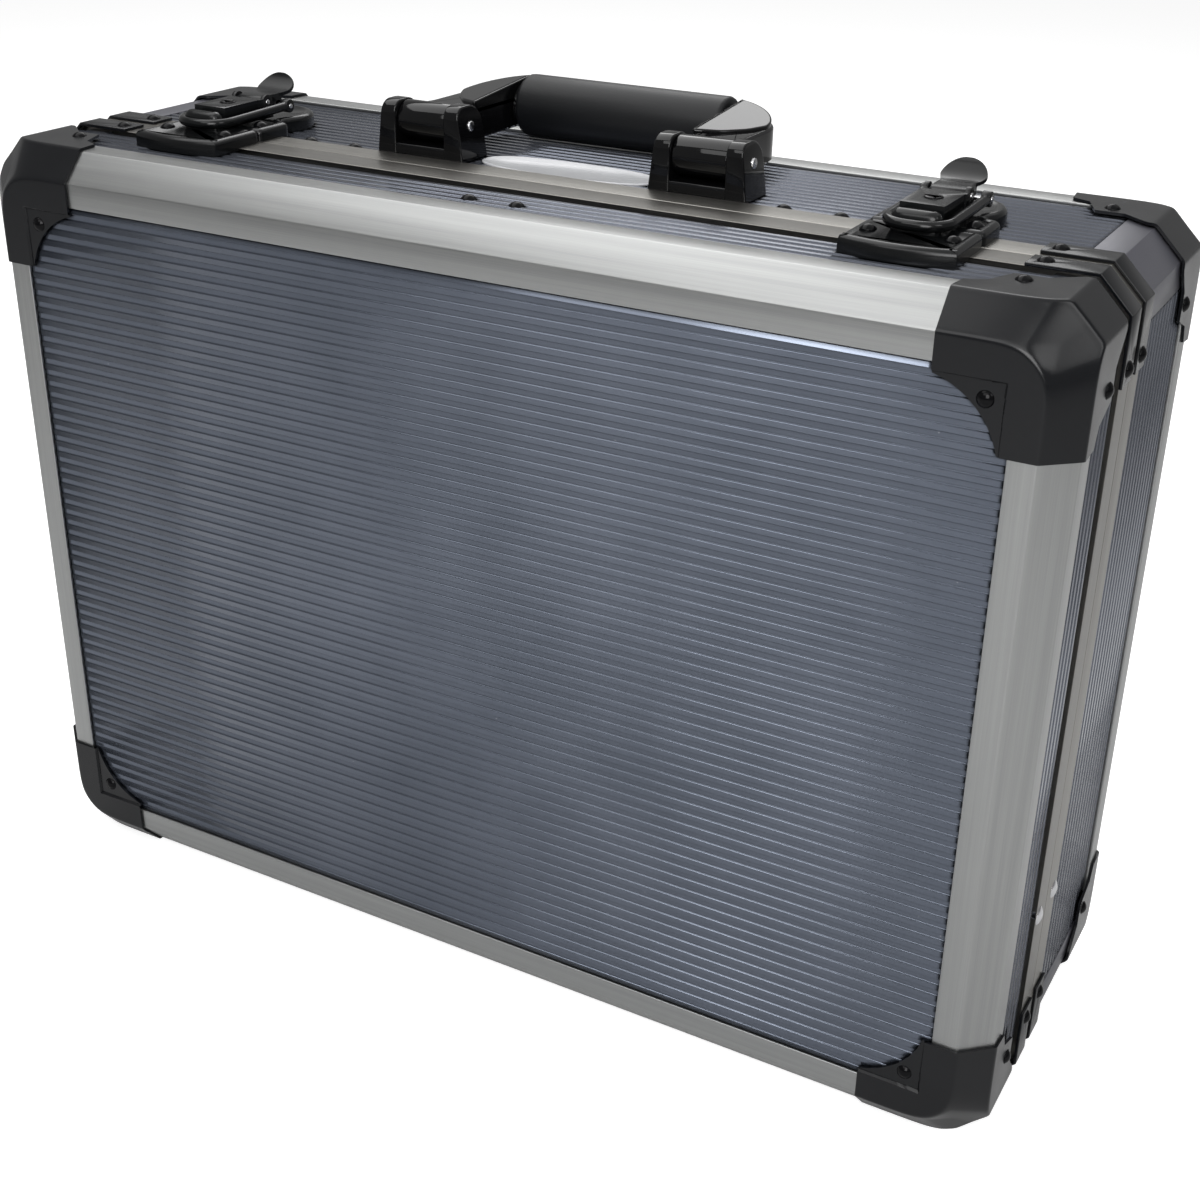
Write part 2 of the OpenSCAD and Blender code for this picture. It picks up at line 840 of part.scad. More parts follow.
// Hook plate's outline: straight at the split, bowed at the front
module hook_outline(inset) {
  bow_r = (pow(plate_w / 2, 2) + pow(hook_bow, 2)) / (2 * hook_bow);
  w = plate_w / 2 - inset;
  intersection() {
    translate([-w, -hook_len - hook_bow])
      square([2 * w, hook_len + hook_bow - split_gap / 2 - inset]);
    translate([0, bow_r - hook_len - hook_bow]) circle(r = bow_r - inset, $fn = 96);
  }
}

// Latch plate's outline: broad at the split, necked, then round at the rear
module latch_outline(inset) {
  w = plate_w / 2 - inset;
  neck = plate_end_r - 3;
  broad = plate_end_at - plate_end_r + 2;
  translate([-w, split_gap / 2 + inset]) square([2 * w, broad - split_gap / 2 - 2 * inset]);
  translate([inset - neck, broad - 2]) square([2 * (neck - inset), plate_end_at - broad - 6]);
  translate([0, plate_end_at]) circle(r = plate_end_r - inset);
}

// Pressed plate, hollow below; past the rim its skirt reaches down to the ribs
module pressed_plate(is_hook) {
  difference() {
    linear_extrude(height = plate_h) plate_shape(is_hook, 0);
    translate([0, 0, -eps]) linear_extrude(height = plate_h - plate_t + eps)
      plate_shape(is_hook, plate_t);
  }
  translate([0, 0, -rib_level]) linear_extrude(height = rib_level + 1) difference() {
    plate_shape(is_hook, 0);
    plate_shape(is_hook, plate_t);
    translate([-plate_w, -rim_w - 0.1]) square([2 * plate_w, 2 * rim_w + 0.2]);
  }
}

module plate_shape(is_hook, inset) {
  if (is_hook) hook_outline(inset);
  else latch_outline(inset);
}

// Nose that the bail hooks over: rounded front corners and a rounded front top edge
module nose() {
  r = 5;
  top_r = 3;
  intersection() {
    linear_extrude(height = nose_h) {
      translate([-nose_w / 2, r - nose_front]) square([nose_w, nose_len - r]);
      translate([r - nose_w / 2, -nose_front]) square([nose_w - 2 * r, nose_len]);
      for (side = [-1, 1]) translate([side * (nose_w / 2 - r), r - nose_front]) circle(r = r);
    }
    slab_x(-nose_w, nose_w) {
      translate([-nose_front, plate_h - plate_t / 2])
        square([nose_len, nose_h - plate_h + plate_t / 2 - top_r]);
      translate([top_r - nose_front, plate_h]) square([nose_len - top_r, nose_h - plate_h]);
      translate([top_r - nose_front, nose_h - top_r]) circle(r = top_r);
    }
  }
}

module latch_hook(side) {
  color("#2b2c31") on_top(side * latch_x) difference() {
    union() {
      pressed_plate(true);
      nose();
    }
    plate_bores(hook_rivets);
  }
}

module latch_plate(side) {
  color("#2b2c31") on_top(side * latch_x) difference() {
    pressed_plate(false);
    plate_bores(plate_rivets);
  }
}

// Lock housing: block with the key cylinder's bore and two ears for the lever's pin
module lock_housing(side) {
  color("#2b2c31") on_top(side * latch_x) difference() {
    union() {
      translate([-housing_w / 2, housing_front, plate_h + run_gap])
        cube([housing_w, housing_rear - housing_front, housing_h - plate_h - run_gap]);
      translate([-housing_w / 2, split_gap, plate_h])
        cube([housing_w, housing_rear - split_gap, plate_h]);
      for (s = [-1, 1]) translate([s > 0 ? ear_inner : -ear_outer, 0, 0])
        slab_x(0, ear_outer - ear_inner) {
          translate([housing_rear - 3, plate_h])
            square([lever_pin_y + ear_round - housing_rear + 3, lever_pin_z - plate_h]);
          translate([lever_pin_y, lever_pin_z]) circle(r = ear_round);
          translate([housing_rear - 3, plate_h]) square([4, housing_h - plate_h]);
        }
    }
    translate([0, key_y, key_floor]) cylinder(r = key_r + pin_fit, h = housing_h);
    pin_x(-housing_w, housing_w, lever_pin_y, lever_pin_z, lever_pin_r + pin_fit / 2);
  }
}

// Key cylinder with its slot
module key_cylinder(side) {
  slot_w = 1;
  slot_depth = 3;
  color("#33343a") on_top(side * latch_x) translate([0, key_y, 0]) difference() {
    translate([0, 0, key_floor]) cylinder(r = key_r, h = housing_h + key_proud - key_floor);
    translate([-key_r * 0.75, -slot_w / 2, housing_h + key_proud - slot_depth])
      cube([key_r * 1.5, slot_w, slot_depth + 1]);
  }
}

// Lever with a thumb tab that curls up behind it
module latch_lever(side) {
  tab_start = bail_pin_y + 2;
  tab_t = 1.4;
  tab_rise = tab_h - lever_top + tab_t;
  tab_run = tab_len - 3;
  curl_r = (pow(tab_run, 2) + pow(tab_rise, 2)) / (2 * tab_rise);
  tab_half = lever_w / 2 + 2;
  eye = bail_pin_r + 1.3;
  color("#2b2c31") on_top(side * latch_x) {
    difference() {
      union() {
        pin_x(-lever_w / 2, lever_w / 2, lever_pin_y, lever_pin_z, lever_eye_r);
        pin_x(-lever_w / 2, lever_w / 2, bail_pin_y, bail_pin_z, eye);
        slab_x(-lever_w / 2, lever_w / 2)
          polygon([[lever_pin_y, lever_pin_z - lever_eye_r + 0.2], [bail_pin_y, bail_pin_z - eye + 0.1],
                   [bail_pin_y + eye, bail_pin_z], [tab_start, lever_top - tab_t],
                   [tab_start, lever_top], [lever_pin_y, lever_top]]);
      }
      pin_x(-lever_w, lever_w, lever_pin_y, lever_pin_z, lever_pin_r + pin_fit);
      pin_x(-lever_w, lever_w, bail_pin_y, bail_pin_z, bail_pin_r + pin_fit / 2);
    }
    intersection() {
      slab_x(-tab_half, tab_half) intersection() {
        translate([tab_start - 1, lever_top - tab_t + curl_r]) difference() {
          circle(r = curl_r, $fn = 96);
          circle(r = curl_r - tab_t, $fn = 96);
        }
        translate([tab_start - 1, lever_top - 2]) square([tab_len, tab_h - lever_top + 2]);
      }
      linear_extrude(height = tab_h + 1) {
        translate([-lever_w / 2, tab_start - 2]) square([lever_w, 4]);
        translate([0, tab_start + tab_run - tab_half]) circle(r = tab_half);
      }
    }
  }
}

module bail_pin(side) {
  reach = bail_half + wire_r + 0.2;
  color("#c9c9cc") on_top(side * latch_x) pin_x(-reach, reach, bail_pin_y, bail_pin_z, bail_pin_r);
}

// Wire bail: two legs from the pin, a bent front that lies before the nose
module latch_bail(side) {
  bend_r = 8;
  run = bail_pin_y + bail_front;
  leg_end = 2;
  eye_r = bail_pin_r + 1.8;
  eye_half = wire_r - 0.2;
  tilt = asin((bail_pin_z - bail_low) / run);
  color("#25262a") on_top(side * latch_x) translate([0, bail_pin_y, bail_pin_z]) difference() {
    rotate([tilt, 0, 0]) {
      for (s = [-1, 1]) {
        translate([s * bail_half, -leg_end, 0]) rotate([90, 0, 0])
          cylinder(r = wire_r, h = run - bend_r - leg_end);
        pin_x(s * bail_half - eye_half, s * bail_half + eye_half, 0, 0, eye_r);
        translate([s * (bail_half - bend_r), bend_r - run, 0]) flip(s < 0, [1, 0, 0])
          rotate([0, 0, -90]) rotate_extrude(angle = 90) translate([bend_r, 0]) circle(r = wire_r);
      }
      pin_x(bend_r - bail_half, bail_half - bend_r, -run, 0, wire_r);
    }
    pin_x(-bail_half - wire_r - 1, bail_half + wire_r + 1, 0, 0, bail_pin_r + pin_fit);
  }
}

// ---------- Handle ----------

module bracket_side() {
  y1 = bracket_front + bracket_d;
  front_r = 5;
  rear_r = 9;
  y0 = bracket_front;
  translate([y0 + front_r, ear_h - front_r]) circle(r = front_r);
  translate([y1 - rear_r - 0.5, ear_h - rear_r]) circle(r = rear_r);
  polygon([[y0, -rib_level], [y1, -rib_level], [y1 - 0.5, ear_h - rear_r], [y1 - rear_r - 0.5, ear_h],
           [y0 + front_r, ear_h], [y0, ear_h - front_r]]);
}

// Bracket with two ears that lean in a little, and a pocket for the arm's barrel
module handle_bracket(side) {
  w = bracket_w / 2;
  pocket = w - ear_t;
  color("#1b1c1f") on_top(handle_x + side * bracket_x) difference() {
    intersection() {
      slab_x(-w, w) bracket_side();
      slab_y(bracket_front, bracket_front + bracket_d)
        polygon([[-w, -rib_level], [w, -rib_level], [w - ear_lean, ear_h + 1], [ear_lean - w, ear_h + 1]]);
    }
    translate([-pocket, bracket_front - 1, pocket_floor]) cube([2 * pocket, bracket_d + 2, ear_h]);
    pin_x(-w - 1, w + 1, handle_pin_y, handle_pin_z, handle_pin_r + pin_fit / 2);
  }
}

// Silver pins of the two latch levers and of the two handle brackets
module pivot_pins() {
  color("#c9c9cc") for (side = [-1, 1]) {
    on_top(side * latch_x)
      pin_x(-ear_outer - 0.3, ear_outer + 0.3, lever_pin_y, lever_pin_z, lever_pin_r);
    on_top(handle_x + side * bracket_x)
      pin_x(0.8 - bracket_w / 2, bracket_w / 2 - 0.8, handle_pin_y, handle_pin_z, handle_pin_r);
  }
}

// Fills the space below a plane through [x, y, z] that rises back and falls outward
module below_plane(x, y, z, rise, fall) {
  translate([x, y, z]) rotate([rise, fall, 0]) translate([-far, -far, -far]) cube([3 * far, 3 * far, far]);
}

// One arm: a barrel on the pin, a thick quarter disc beside the grip and a raised cap on it,
// then a collar and half of the core that carries the grip
module handle_arm(side) {
  inner = bracket_x - barrel_half;
  outer = bracket_x + barrel_half;
  half = grip_len / 2;
  face = half + 2;
  wide = outer - 2.5;
  leave = bracket_front + bracket_d + 1;
  rear = grip_y + grip_r * 0.45;
  low_top = handle_pin_z + barrel_r - 2.2;
  color("#1b1c1f") on_top(handle_x) flip(side < 0, [1, 0, 0]) difference() {
    union() {
      pin_x(inner, outer, handle_pin_y, handle_pin_z, barrel_r);
      intersection() {
        linear_extrude(height = far)
          polygon([[inner, handle_pin_y], [outer, handle_pin_y], [outer, leave - 4], [wide + 0.4, leave + 2],
                   [wide, leave + 26], [wide - 1.2, rear - 14], [wide - 4, rear - 9.5],
                   [wide - 8, rear - 5], [wide - 13.5, rear - 1.5], [wide - 18.5, rear - 0.2],
                   [half + 0.1, rear], [half + 0.1, rear - 4], [face, rear - 6], [face, leave],
                   [inner, leave]]);
        slab_x(0, half_w)
          polygon([[handle_pin_y, handle_pin_z + barrel_r - 0.3], [leave, low_top], [rear, low_top + 0.5],
                   [rear, 5], [leave + 16, 4], [leave + 4, 4],
                   [leave, handle_pin_z - barrel_r + 0.5], [handle_pin_y, handle_pin_z - barrel_r]]);
      }
      intersection() {
        translate([0, 0, low_top - 3]) linear_extrude(height = far)
          polygon([[face, leave], [face + 10, leave + 7.5], [wide - 4.7, leave + 16],
                   [wide - 0.6, leave + 25], [wide - 0.6, leave + 29], [wide - 1.8, rear - 14],
                   [wide - 4.6, rear - 9.5],
                   [wide - 8.6, rear - 5.3], [wide - 14, rear - 2], [wide - 19, rear - 0.8],
                   [half + 0.1, rear - 0.6], [half + 0.1, rear - 4], [face, rear - 6]]);
        below_plane(face, leave - 1, low_top + 1.7, 5.5, 7.7);
      }
      pin_x(half + 0.1, half + 8, grip_y, grip_z, collar_r);
      pin_x(0.05, half + 1, grip_y, grip_z, core_r);
    }
    pin_x(inner - 1, outer + 1, handle_pin_y, handle_pin_z, handle_pin_r + pin_fit);
  }
}

module handle_grip() {
  half = grip_len / 2;
  color("#202124") on_top(handle_x) difference() {
    pin_x(-half, half, grip_y, grip_z, grip_r);
    pin_x(-half - 1, half + 1, grip_y, grip_z, core_r + 0.1);
  }
}

// ---------- Badge ----------

// Bare oval plate between the brackets, lying on the ribs: two long arcs and two short ones
module badge_plate() {
  a = badge_w / 2;
  b = badge_d / 2;
  end_r = badge_d * 0.42;
  long_r = (pow(a - end_r, 2) + pow(b, 2) - pow(end_r, 2)) / (2 * (b - end_r));
  meet_x = (a - end_r) * long_r / (long_r - end_r);
  color("#e9e9ea") on_top(handle_x) translate([0, rim_w + 0.5 + b, -rib_level])
    linear_extrude(height = 0.6) {
      intersection() {
        square([2 * meet_x, badge_d], center = true);
        translate([0, long_r - b]) circle(r = long_r, $fn = 96);
        translate([0, b - long_r]) circle(r = long_r, $fn = 96);
      }
      for (s = [-1, 1]) translate([s * (a - end_r), 0]) circle(r = end_r);
    }
}

// ---------- Hinges ----------

// Leaf with every second knuckle; the base has knuckles 0, 2 and 4, the lid 1 and 3
module hinge_leaf(back) {
  count = 5;
  step = hinge_len / count;
  clear = knuckle_r + 0.3;
  difference() {
    union() {
      translate([-hinge_len / 2, back ? clear : -leaf_w, 0]) cube([hinge_len, leaf_w - clear, leaf_t]);
      for (i = [back ? 0 : 1 : 2 : count - 1]) {
        x0 = i * step - hinge_len / 2 + 0.1;
        translate([x0, back ? 0 : -leaf_w, 0]) cube([step - 0.2, leaf_w, leaf_t]);
        pin_x(x0, x0 + step - 0.2, 0, hinge_rise, knuckle_r);
      }
    }
    pin_x(-hinge_len, hinge_len, 0, hinge_rise, hinge_pin_r + (back ? pin_fit / 2 : pin_fit));
  }
}

module lid_hinge_leaves() {
  color("#3a3b40") for (x = [-hinge_x, hinge_x]) translate([x, split_y, bottom]) hinge_leaf(false);
}

module base_hinge_leaves() {
  color("#3a3b40") for (x = [-hinge_x, hinge_x]) translate([x, split_y, bottom]) hinge_leaf(true);
}

module hinge_pins() {
  color("#c9c9cc") for (x = [-hinge_x, hinge_x])
    pin_x(x - hinge_len / 2, x + hinge_len / 2, split_y, hinge_z, hinge_pin_r);
}

// ---------- Lid stays ----------

// Silver pan head outside the rim, its shank through the rim and lining to a link
module stay_rivet(right, back) {
  head_r = 4;
  head_h = 1.4;
  dome_r = (pow(head_r, 2) + pow(head_h, 2)) / (2 * head_h);
  inner = back ? base_link_x : lid_link_x;
  y = split_y + (back ? stay_off : -stay_off);
  flip(!right, [1, 0, 0]) {
    pin_x(inner - 0.2, half_w, y, bottom + stay_up, stay_pin_r);
    translate([half_w, y, bottom + stay_up]) rotate([0, 90, 0])
      intersection() {
        translate([0, 0, head_h - dome_r]) sphere(r = dome_r);
        cylinder(r = head_r + 1, h = head_h + 1);
      }
  }
}

module lid_stay_rivets() {
  color("#c9c9cc") for (right = [false, true]) stay_rivet(right, false);
}

module base_stay_rivets() {
  color("#c9c9cc") for (right = [false, true]) stay_rivet(right, true);
}

// Flat link from a rivet up to the knee; the base's link carries the knee's rivet head
module stay_link(right, back) {
  x0 = back ? base_link_x : lid_link_x;
  lean = asin(stay_off / stay_length);
  y = split_y + (back ? stay_off : -stay_off);
  color("#b4b5b8") flip(!right, [1, 0, 0]) translate([x0, y, bottom + stay_up])
    rotate([back ? lean : -lean, 0, 0]) difference() {
      union() {
        slab_x(0, link_t) {
          translate([-link_w / 2, 0]) square([link_w, stay_length]);
          circle(r = link_w / 2);
          translate([0, stay_length]) circle(r = link_w / 2);
        }
        if (back) pin_x(-1, link_t, 0, stay_length, stay_pin_r + 1);
      }
      pin_x(-2, link_t + 1, 0, 0, stay_pin_r + pin_fit);
    }
}

// ---------- Nodes ----------

lid_face_panel();
lid_edge_profiles();
lid_wall_top();
lid_wall("bottom");  // lid_wall_bottom
lid_wall("left");  // lid_wall_left
lid_wall("right");  // lid_wall_right
lid_rim();
lid_lining();
guard(false, true, false);  // lid_guard_top_left
guard(true, true, false);  // lid_guard_top_right
guard(false, false, false);  // lid_guard_bottom_left
guard(true, false, false);  // lid_guard_bottom_right
lid_rim_clips();
lid_rivets();
latch_hook(-1);  // latch_hook_left
latch_hook(1);  // latch_hook_right
lid_hinge_leaves();
lid_stay_rivets();
base_back_panel();
base_edge_profiles();
base_wall_top();
base_wall("bottom");  // base_wall_bottom
base_wall("left");  // base_wall_left
base_wall("right");  // base_wall_right
base_corner_covers();
base_rim();
base_lining();
guard(false, true, true);  // base_guard_top_left
guard(true, true, true);  // base_guard_top_right
guard(false, false, true);  // base_guard_bottom_left
guard(true, false, true);  // base_guard_bottom_right
base_rim_clips();
base_rivets();
latch_plate(-1);  // latch_plate_left
latch_plate(1);  // latch_plate_right
lock_housing(-1);  // lock_housing_left
lock_housing(1);  // lock_housing_right
handle_bracket(-1);  // handle_bracket_left
handle_bracket(1);  // handle_bracket_right
pivot_pins();
badge_plate();
base_hinge_leaves();
hinge_pins();
base_stay_rivets();
latch_lever(-1);  // latch_lever_left
latch_lever(1);  // latch_lever_right
bail_pin(-1);  // bail_pin_left
bail_pin(1);  // bail_pin_right
latch_bail(-1);  // latch_bail_left
latch_bail(1);  // latch_bail_right
key_cylinder(-1);  // key_cylinder_left
key_cylinder(1);  // key_cylinder_right
handle_arm(-1);  // handle_arm_left
handle_arm(1);  // handle_arm_right
handle_grip();
stay_link(false, true);  // stay_link_base_left
stay_link(true, true);  // stay_link_base_right
stay_link(false, false);  // stay_link_lid_left
stay_link(true, false);  // stay_link_lid_right
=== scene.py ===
import itertools
import json
import math

import bmesh
import bpy
import numpy as np
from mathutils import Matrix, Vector


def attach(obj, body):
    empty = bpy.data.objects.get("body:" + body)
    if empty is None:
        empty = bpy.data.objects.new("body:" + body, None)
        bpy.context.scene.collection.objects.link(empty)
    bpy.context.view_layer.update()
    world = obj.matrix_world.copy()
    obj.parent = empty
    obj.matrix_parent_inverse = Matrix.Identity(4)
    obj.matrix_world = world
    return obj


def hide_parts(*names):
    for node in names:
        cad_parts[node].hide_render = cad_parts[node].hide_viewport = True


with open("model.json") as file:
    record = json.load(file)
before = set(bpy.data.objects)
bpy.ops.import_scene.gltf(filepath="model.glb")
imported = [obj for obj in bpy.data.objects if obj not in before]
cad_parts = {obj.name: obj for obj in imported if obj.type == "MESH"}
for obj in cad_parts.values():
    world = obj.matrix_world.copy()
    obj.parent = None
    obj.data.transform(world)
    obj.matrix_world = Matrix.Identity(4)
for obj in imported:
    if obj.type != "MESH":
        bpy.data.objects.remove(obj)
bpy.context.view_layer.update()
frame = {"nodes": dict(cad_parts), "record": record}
nodes = frame["nodes"]

# ---------- Studio ----------
# The case stands on a white laminate table under two big overhead soft boxes, with smaller
# ones on its right, in front and behind. The camera looks down on it from the front right.

MM = 0.001
lens_mm = 52.08
camera_at_mm = (341.1, -589.2, 483.5)
camera_turn_deg = (63.575, -0.892, 29.071)



def new_object(name, data):
    """Object that holds the data, linked into the scene."""
    thing = bpy.data.objects.new(name, data)
    bpy.context.scene.collection.objects.link(thing)
    return thing


camera = new_object("camera", bpy.data.cameras.new("camera"))
camera.data.lens = lens_mm
camera.data.sensor_width = 36
camera.data.clip_start = 0.01
camera.location = np.array(camera_at_mm) * MM
camera.rotation_euler = np.radians(camera_turn_deg)
bpy.context.scene.camera = camera


def linear(sheen):
    """Colour from an sRGB hex string, turned linear: c / 12.92 near black, else
    ((c + 0.055) / 1.055) to the power 2.4."""
    c = np.array([int(sheen[i:i + 2], 16) for i in (1, 3, 5)]) / 255
    c = np.where(c <= 0.04045, c / 12.92, ((c + 0.055) / 1.055) ** 2.4)
    return (*c.tolist(), 1)


def add(tree, kind, sockets=(), **settings):
    """Adds one shader node: settings are its own options, sockets its values or links."""
    node = tree.nodes.new(kind)
    for name, value in settings.items():
        setattr(node, name, value)
    for name, value in dict(sockets).items():
        if isinstance(value, bpy.types.NodeSocket):
            tree.links.new(value, node.inputs[name])
        else:
            node.inputs[name].default_value = value
    return node


def new_material(name):
    """A material with an empty node tree, and that tree with its output node."""
    material = bpy.data.materials.new(name)
    material.use_nodes = True
    tree = material.node_tree
    tree.nodes.clear()
    return material, tree, tree.nodes.new("ShaderNodeOutputMaterial")


def piece_from(name, points, faces, material, crease_deg=35):
    """Object at the origin from points in millimetres and a list of faces. Its normals are
    turned outwards, and edges sharper than crease_deg stay crisp."""
    mesh = bpy.data.meshes.new(name)
    mesh.from_pydata((np.asarray(points, float) * MM).tolist(), [], faces)
    shape = bmesh.new()
    shape.from_mesh(mesh)
    bmesh.ops.recalc_face_normals(shape, faces=shape.faces)
    shape.to_mesh(mesh)
    shape.free()
    mesh.materials.append(material)
    mesh.polygons.foreach_set("use_smooth", np.ones(len(mesh.polygons), bool))
    mesh.set_sharp_from_angle(angle=math.radians(crease_deg))
    return new_object(name, mesh)


# White laminate: matt, and glowing a little for the camera so that it stays white.
table_white, tree, output = new_material("white_laminate_table")
matt = add(tree, "ShaderNodeBsdfDiffuse", {"Color": linear("#d2d2d2")})
path = add(tree, "ShaderNodeLightPath")
unlit = add(tree, "ShaderNodeEmission", {"Strength": 0.0})
glow = add(tree, "ShaderNodeEmission", {"Color": linear("#ffffff"), "Strength": 0.7})
seen = add(tree, "ShaderNodeMixShader",
           {0: path.outputs["Is Camera Ray"], 1: unlit.outputs[0], 2: glow.outputs[0]})
both = add(tree, "ShaderNodeAddShader", {0: matt.outputs[0], 1: seen.outputs[0]})
tree.links.new(both.outputs[0], output.inputs["Surface"])
reach = 6000
table = piece_from("table", [(-reach, -reach, 0), (reach, -reach, 0), (reach, reach, 0),
                             (-reach, reach, 0)], [(0, 1, 2, 3)], table_white)

# Soft boxes: place and aim in millimetres, width and length in metres, power in watts
soft_boxes = {"overhead_left": ((-650, 490, 1500), (-650, 491, 0), (1.0, 2.26), 17),
              "overhead_right": ((450, 490, 1500), (450, 491, 0), (1.2, 2.26), 5.5),
              "right_box": ((1350, -450, 1300), (150, -50, 250), (0.5, 0.6), 3),
              "front_box": ((620, -1300, 900), (0, 0, 150), (0.8, 0.8), 14),
              "front_high_box": ((50, -1050, 1350), (50, -80, 200), (1.3, 0.6), 6.5),
              "rear_box": ((-450, 1400, 1250), (0, 0, 350), (1.0, 0.4), 3.2)}
for name, (place, aim, sides, power) in soft_boxes.items():
    lamp = new_object(name, bpy.data.lights.new(name, "AREA"))
    lamp.data.shape = "RECTANGLE"
    lamp.data.size, lamp.data.size_y = sides
    lamp.data.energy = power
    lamp.location = np.array(place) * MM
    toward = Vector(aim) - Vector(place)
    lamp.rotation_euler = toward.to_track_quat("-Z", "Y").to_euler()

world = bpy.data.worlds.new("studio")
world.use_nodes = True
tree = world.node_tree
tree.nodes.clear()
path = add(tree, "ShaderNodeLightPath")
ambient = add(tree, "ShaderNodeBackground", {"Color": linear("#ffffff"), "Strength": 0.3})
backdrop = add(tree, "ShaderNodeBackground", {"Color": linear("#ffffff"), "Strength": 1.0})
chosen = add(tree, "ShaderNodeMixShader", {0: path.outputs["Is Camera Ray"],
                                           1: ambient.outputs[0], 2: backdrop.outputs[0]})
add(tree, "ShaderNodeOutputWorld", {"Surface": chosen.outputs[0]})
bpy.context.scene.world = world
bpy.context.scene.view_settings.view_transform = "Standard"

# ---------- Face panels ----------
# The two big faces: thin anodised aluminium sheet, rolled with flat-topped ribs and glued
# to a board. The ribs run level and end just short of the edge profiles.

body_w, body_h, floor_gap = 460, 330, 1.2
half_w, half_h = body_w / 2, body_h / 2
mid_z = floor_gap + half_h
split_y = -20
# Each half's face in y, the way inward from it, and its depth
halves = {"lid": (-83, 1, 63), "base": (83, -1, 103)}
rib_pitch, rib_w, rib_h, rib_round = 5, 2.5, 0.6, 0.48
edge_t, panel_t = 1.6, 3
chamfer_face, chamfer_depth, face_band, side_band = 11.3, 10.2, 9.8, 11.3

body_of = {node: body for body, members in frame["record"]["behaviour"]["bodies"].items()
           for node in members}


def stand_for(piece, node):
    """The piece takes a CAD node's place and its body."""
    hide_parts(node)
    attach(piece, body_of[node])


def grid(*places):
    """Grid of points from arrays or numbers, one for each coordinate, spread to one shape."""
    return np.stack(np.broadcast_arrays(*places), -1)


def skins(front, back):
    """Points, faces and places of a closed form between two grids of points (rows, columns,
    3): the front skin, the back skin and a strip of faces along their shared border."""
    rows, columns = front.shape[:2]
    near = np.arange(rows * columns).reshape(rows, columns)
    far = near + rows * columns
    faces = [np.stack([g[:-1, :-1], g[1:, :-1], g[1:, 1:], g[:-1, 1:]], -1).reshape(-1, 4)
             for g in (near, far[:, ::-1])]
    ring = [np.concatenate([g[0], g[1:, -1], g[-1, -2::-1], g[-2:0:-1, 0]]) for g in (near, far)]
    faces.append(np.stack([ring[0], np.roll(ring[0], -1), np.roll(ring[1], -1), ring[1]], -1))
    points = np.concatenate([front.reshape(-1, 3), back.reshape(-1, 3)])
    return points, np.concatenate(faces).tolist(), points[:, :2]


def two_skins(node, kind, front, back, material, crease_deg, slot):
    """Piece for a node, closed between two skins."""
    points, faces, _ = skins(front, back)
    stand_for(piece_from(f"{node}_{kind}", points, faces, material, crease_deg), node)


def smooth_step(x):
    """0 below 0, 1 above 1, and 3x^2 - 2x^3 between."""
    x = np.clip(x, 0, 1)
    return x * x * (3 - 2 * x)


def rib_profile(centres, start, end):
    """Places across a ribbed sheet and the sheet's height at each: rib_h on the ribs and 0
    between, with a smooth step of width rib_round at each side of a rib."""
    step = rib_w / 2 + rib_round * np.array([-0.8, -0.55, -0.4, -0.2, 0, 0.2, 0.4, 0.55, 0.8])
    places = (np.asarray(centres)[:, None] + np.concatenate([-step[::-1], step])).ravel()
    places = np.concatenate([[start], places, [end]])
    away = np.abs(places[:, None] - centres).min(1)
    return places, rib_h * smooth_step((rib_w / 2 + rib_round / 2 - away) / rib_round)


# Anodised aluminium sheet: satin and blue-grey, cloudy by a few percent where hands and
# boxes have polished it, with rolling lines along the ribs and a few specks of dust. Its
# creases are painted darker, towards near black, by an ambient-occlusion mask: painted shade.
rolling_mm, cloud_mm, speck_mm, crease_mm = 0.5, 90, 9, 1.6
rolling_stretch, speck_inner, speck_outer, speck_rarity = 0.012, 0.02, 0.035, 0.86


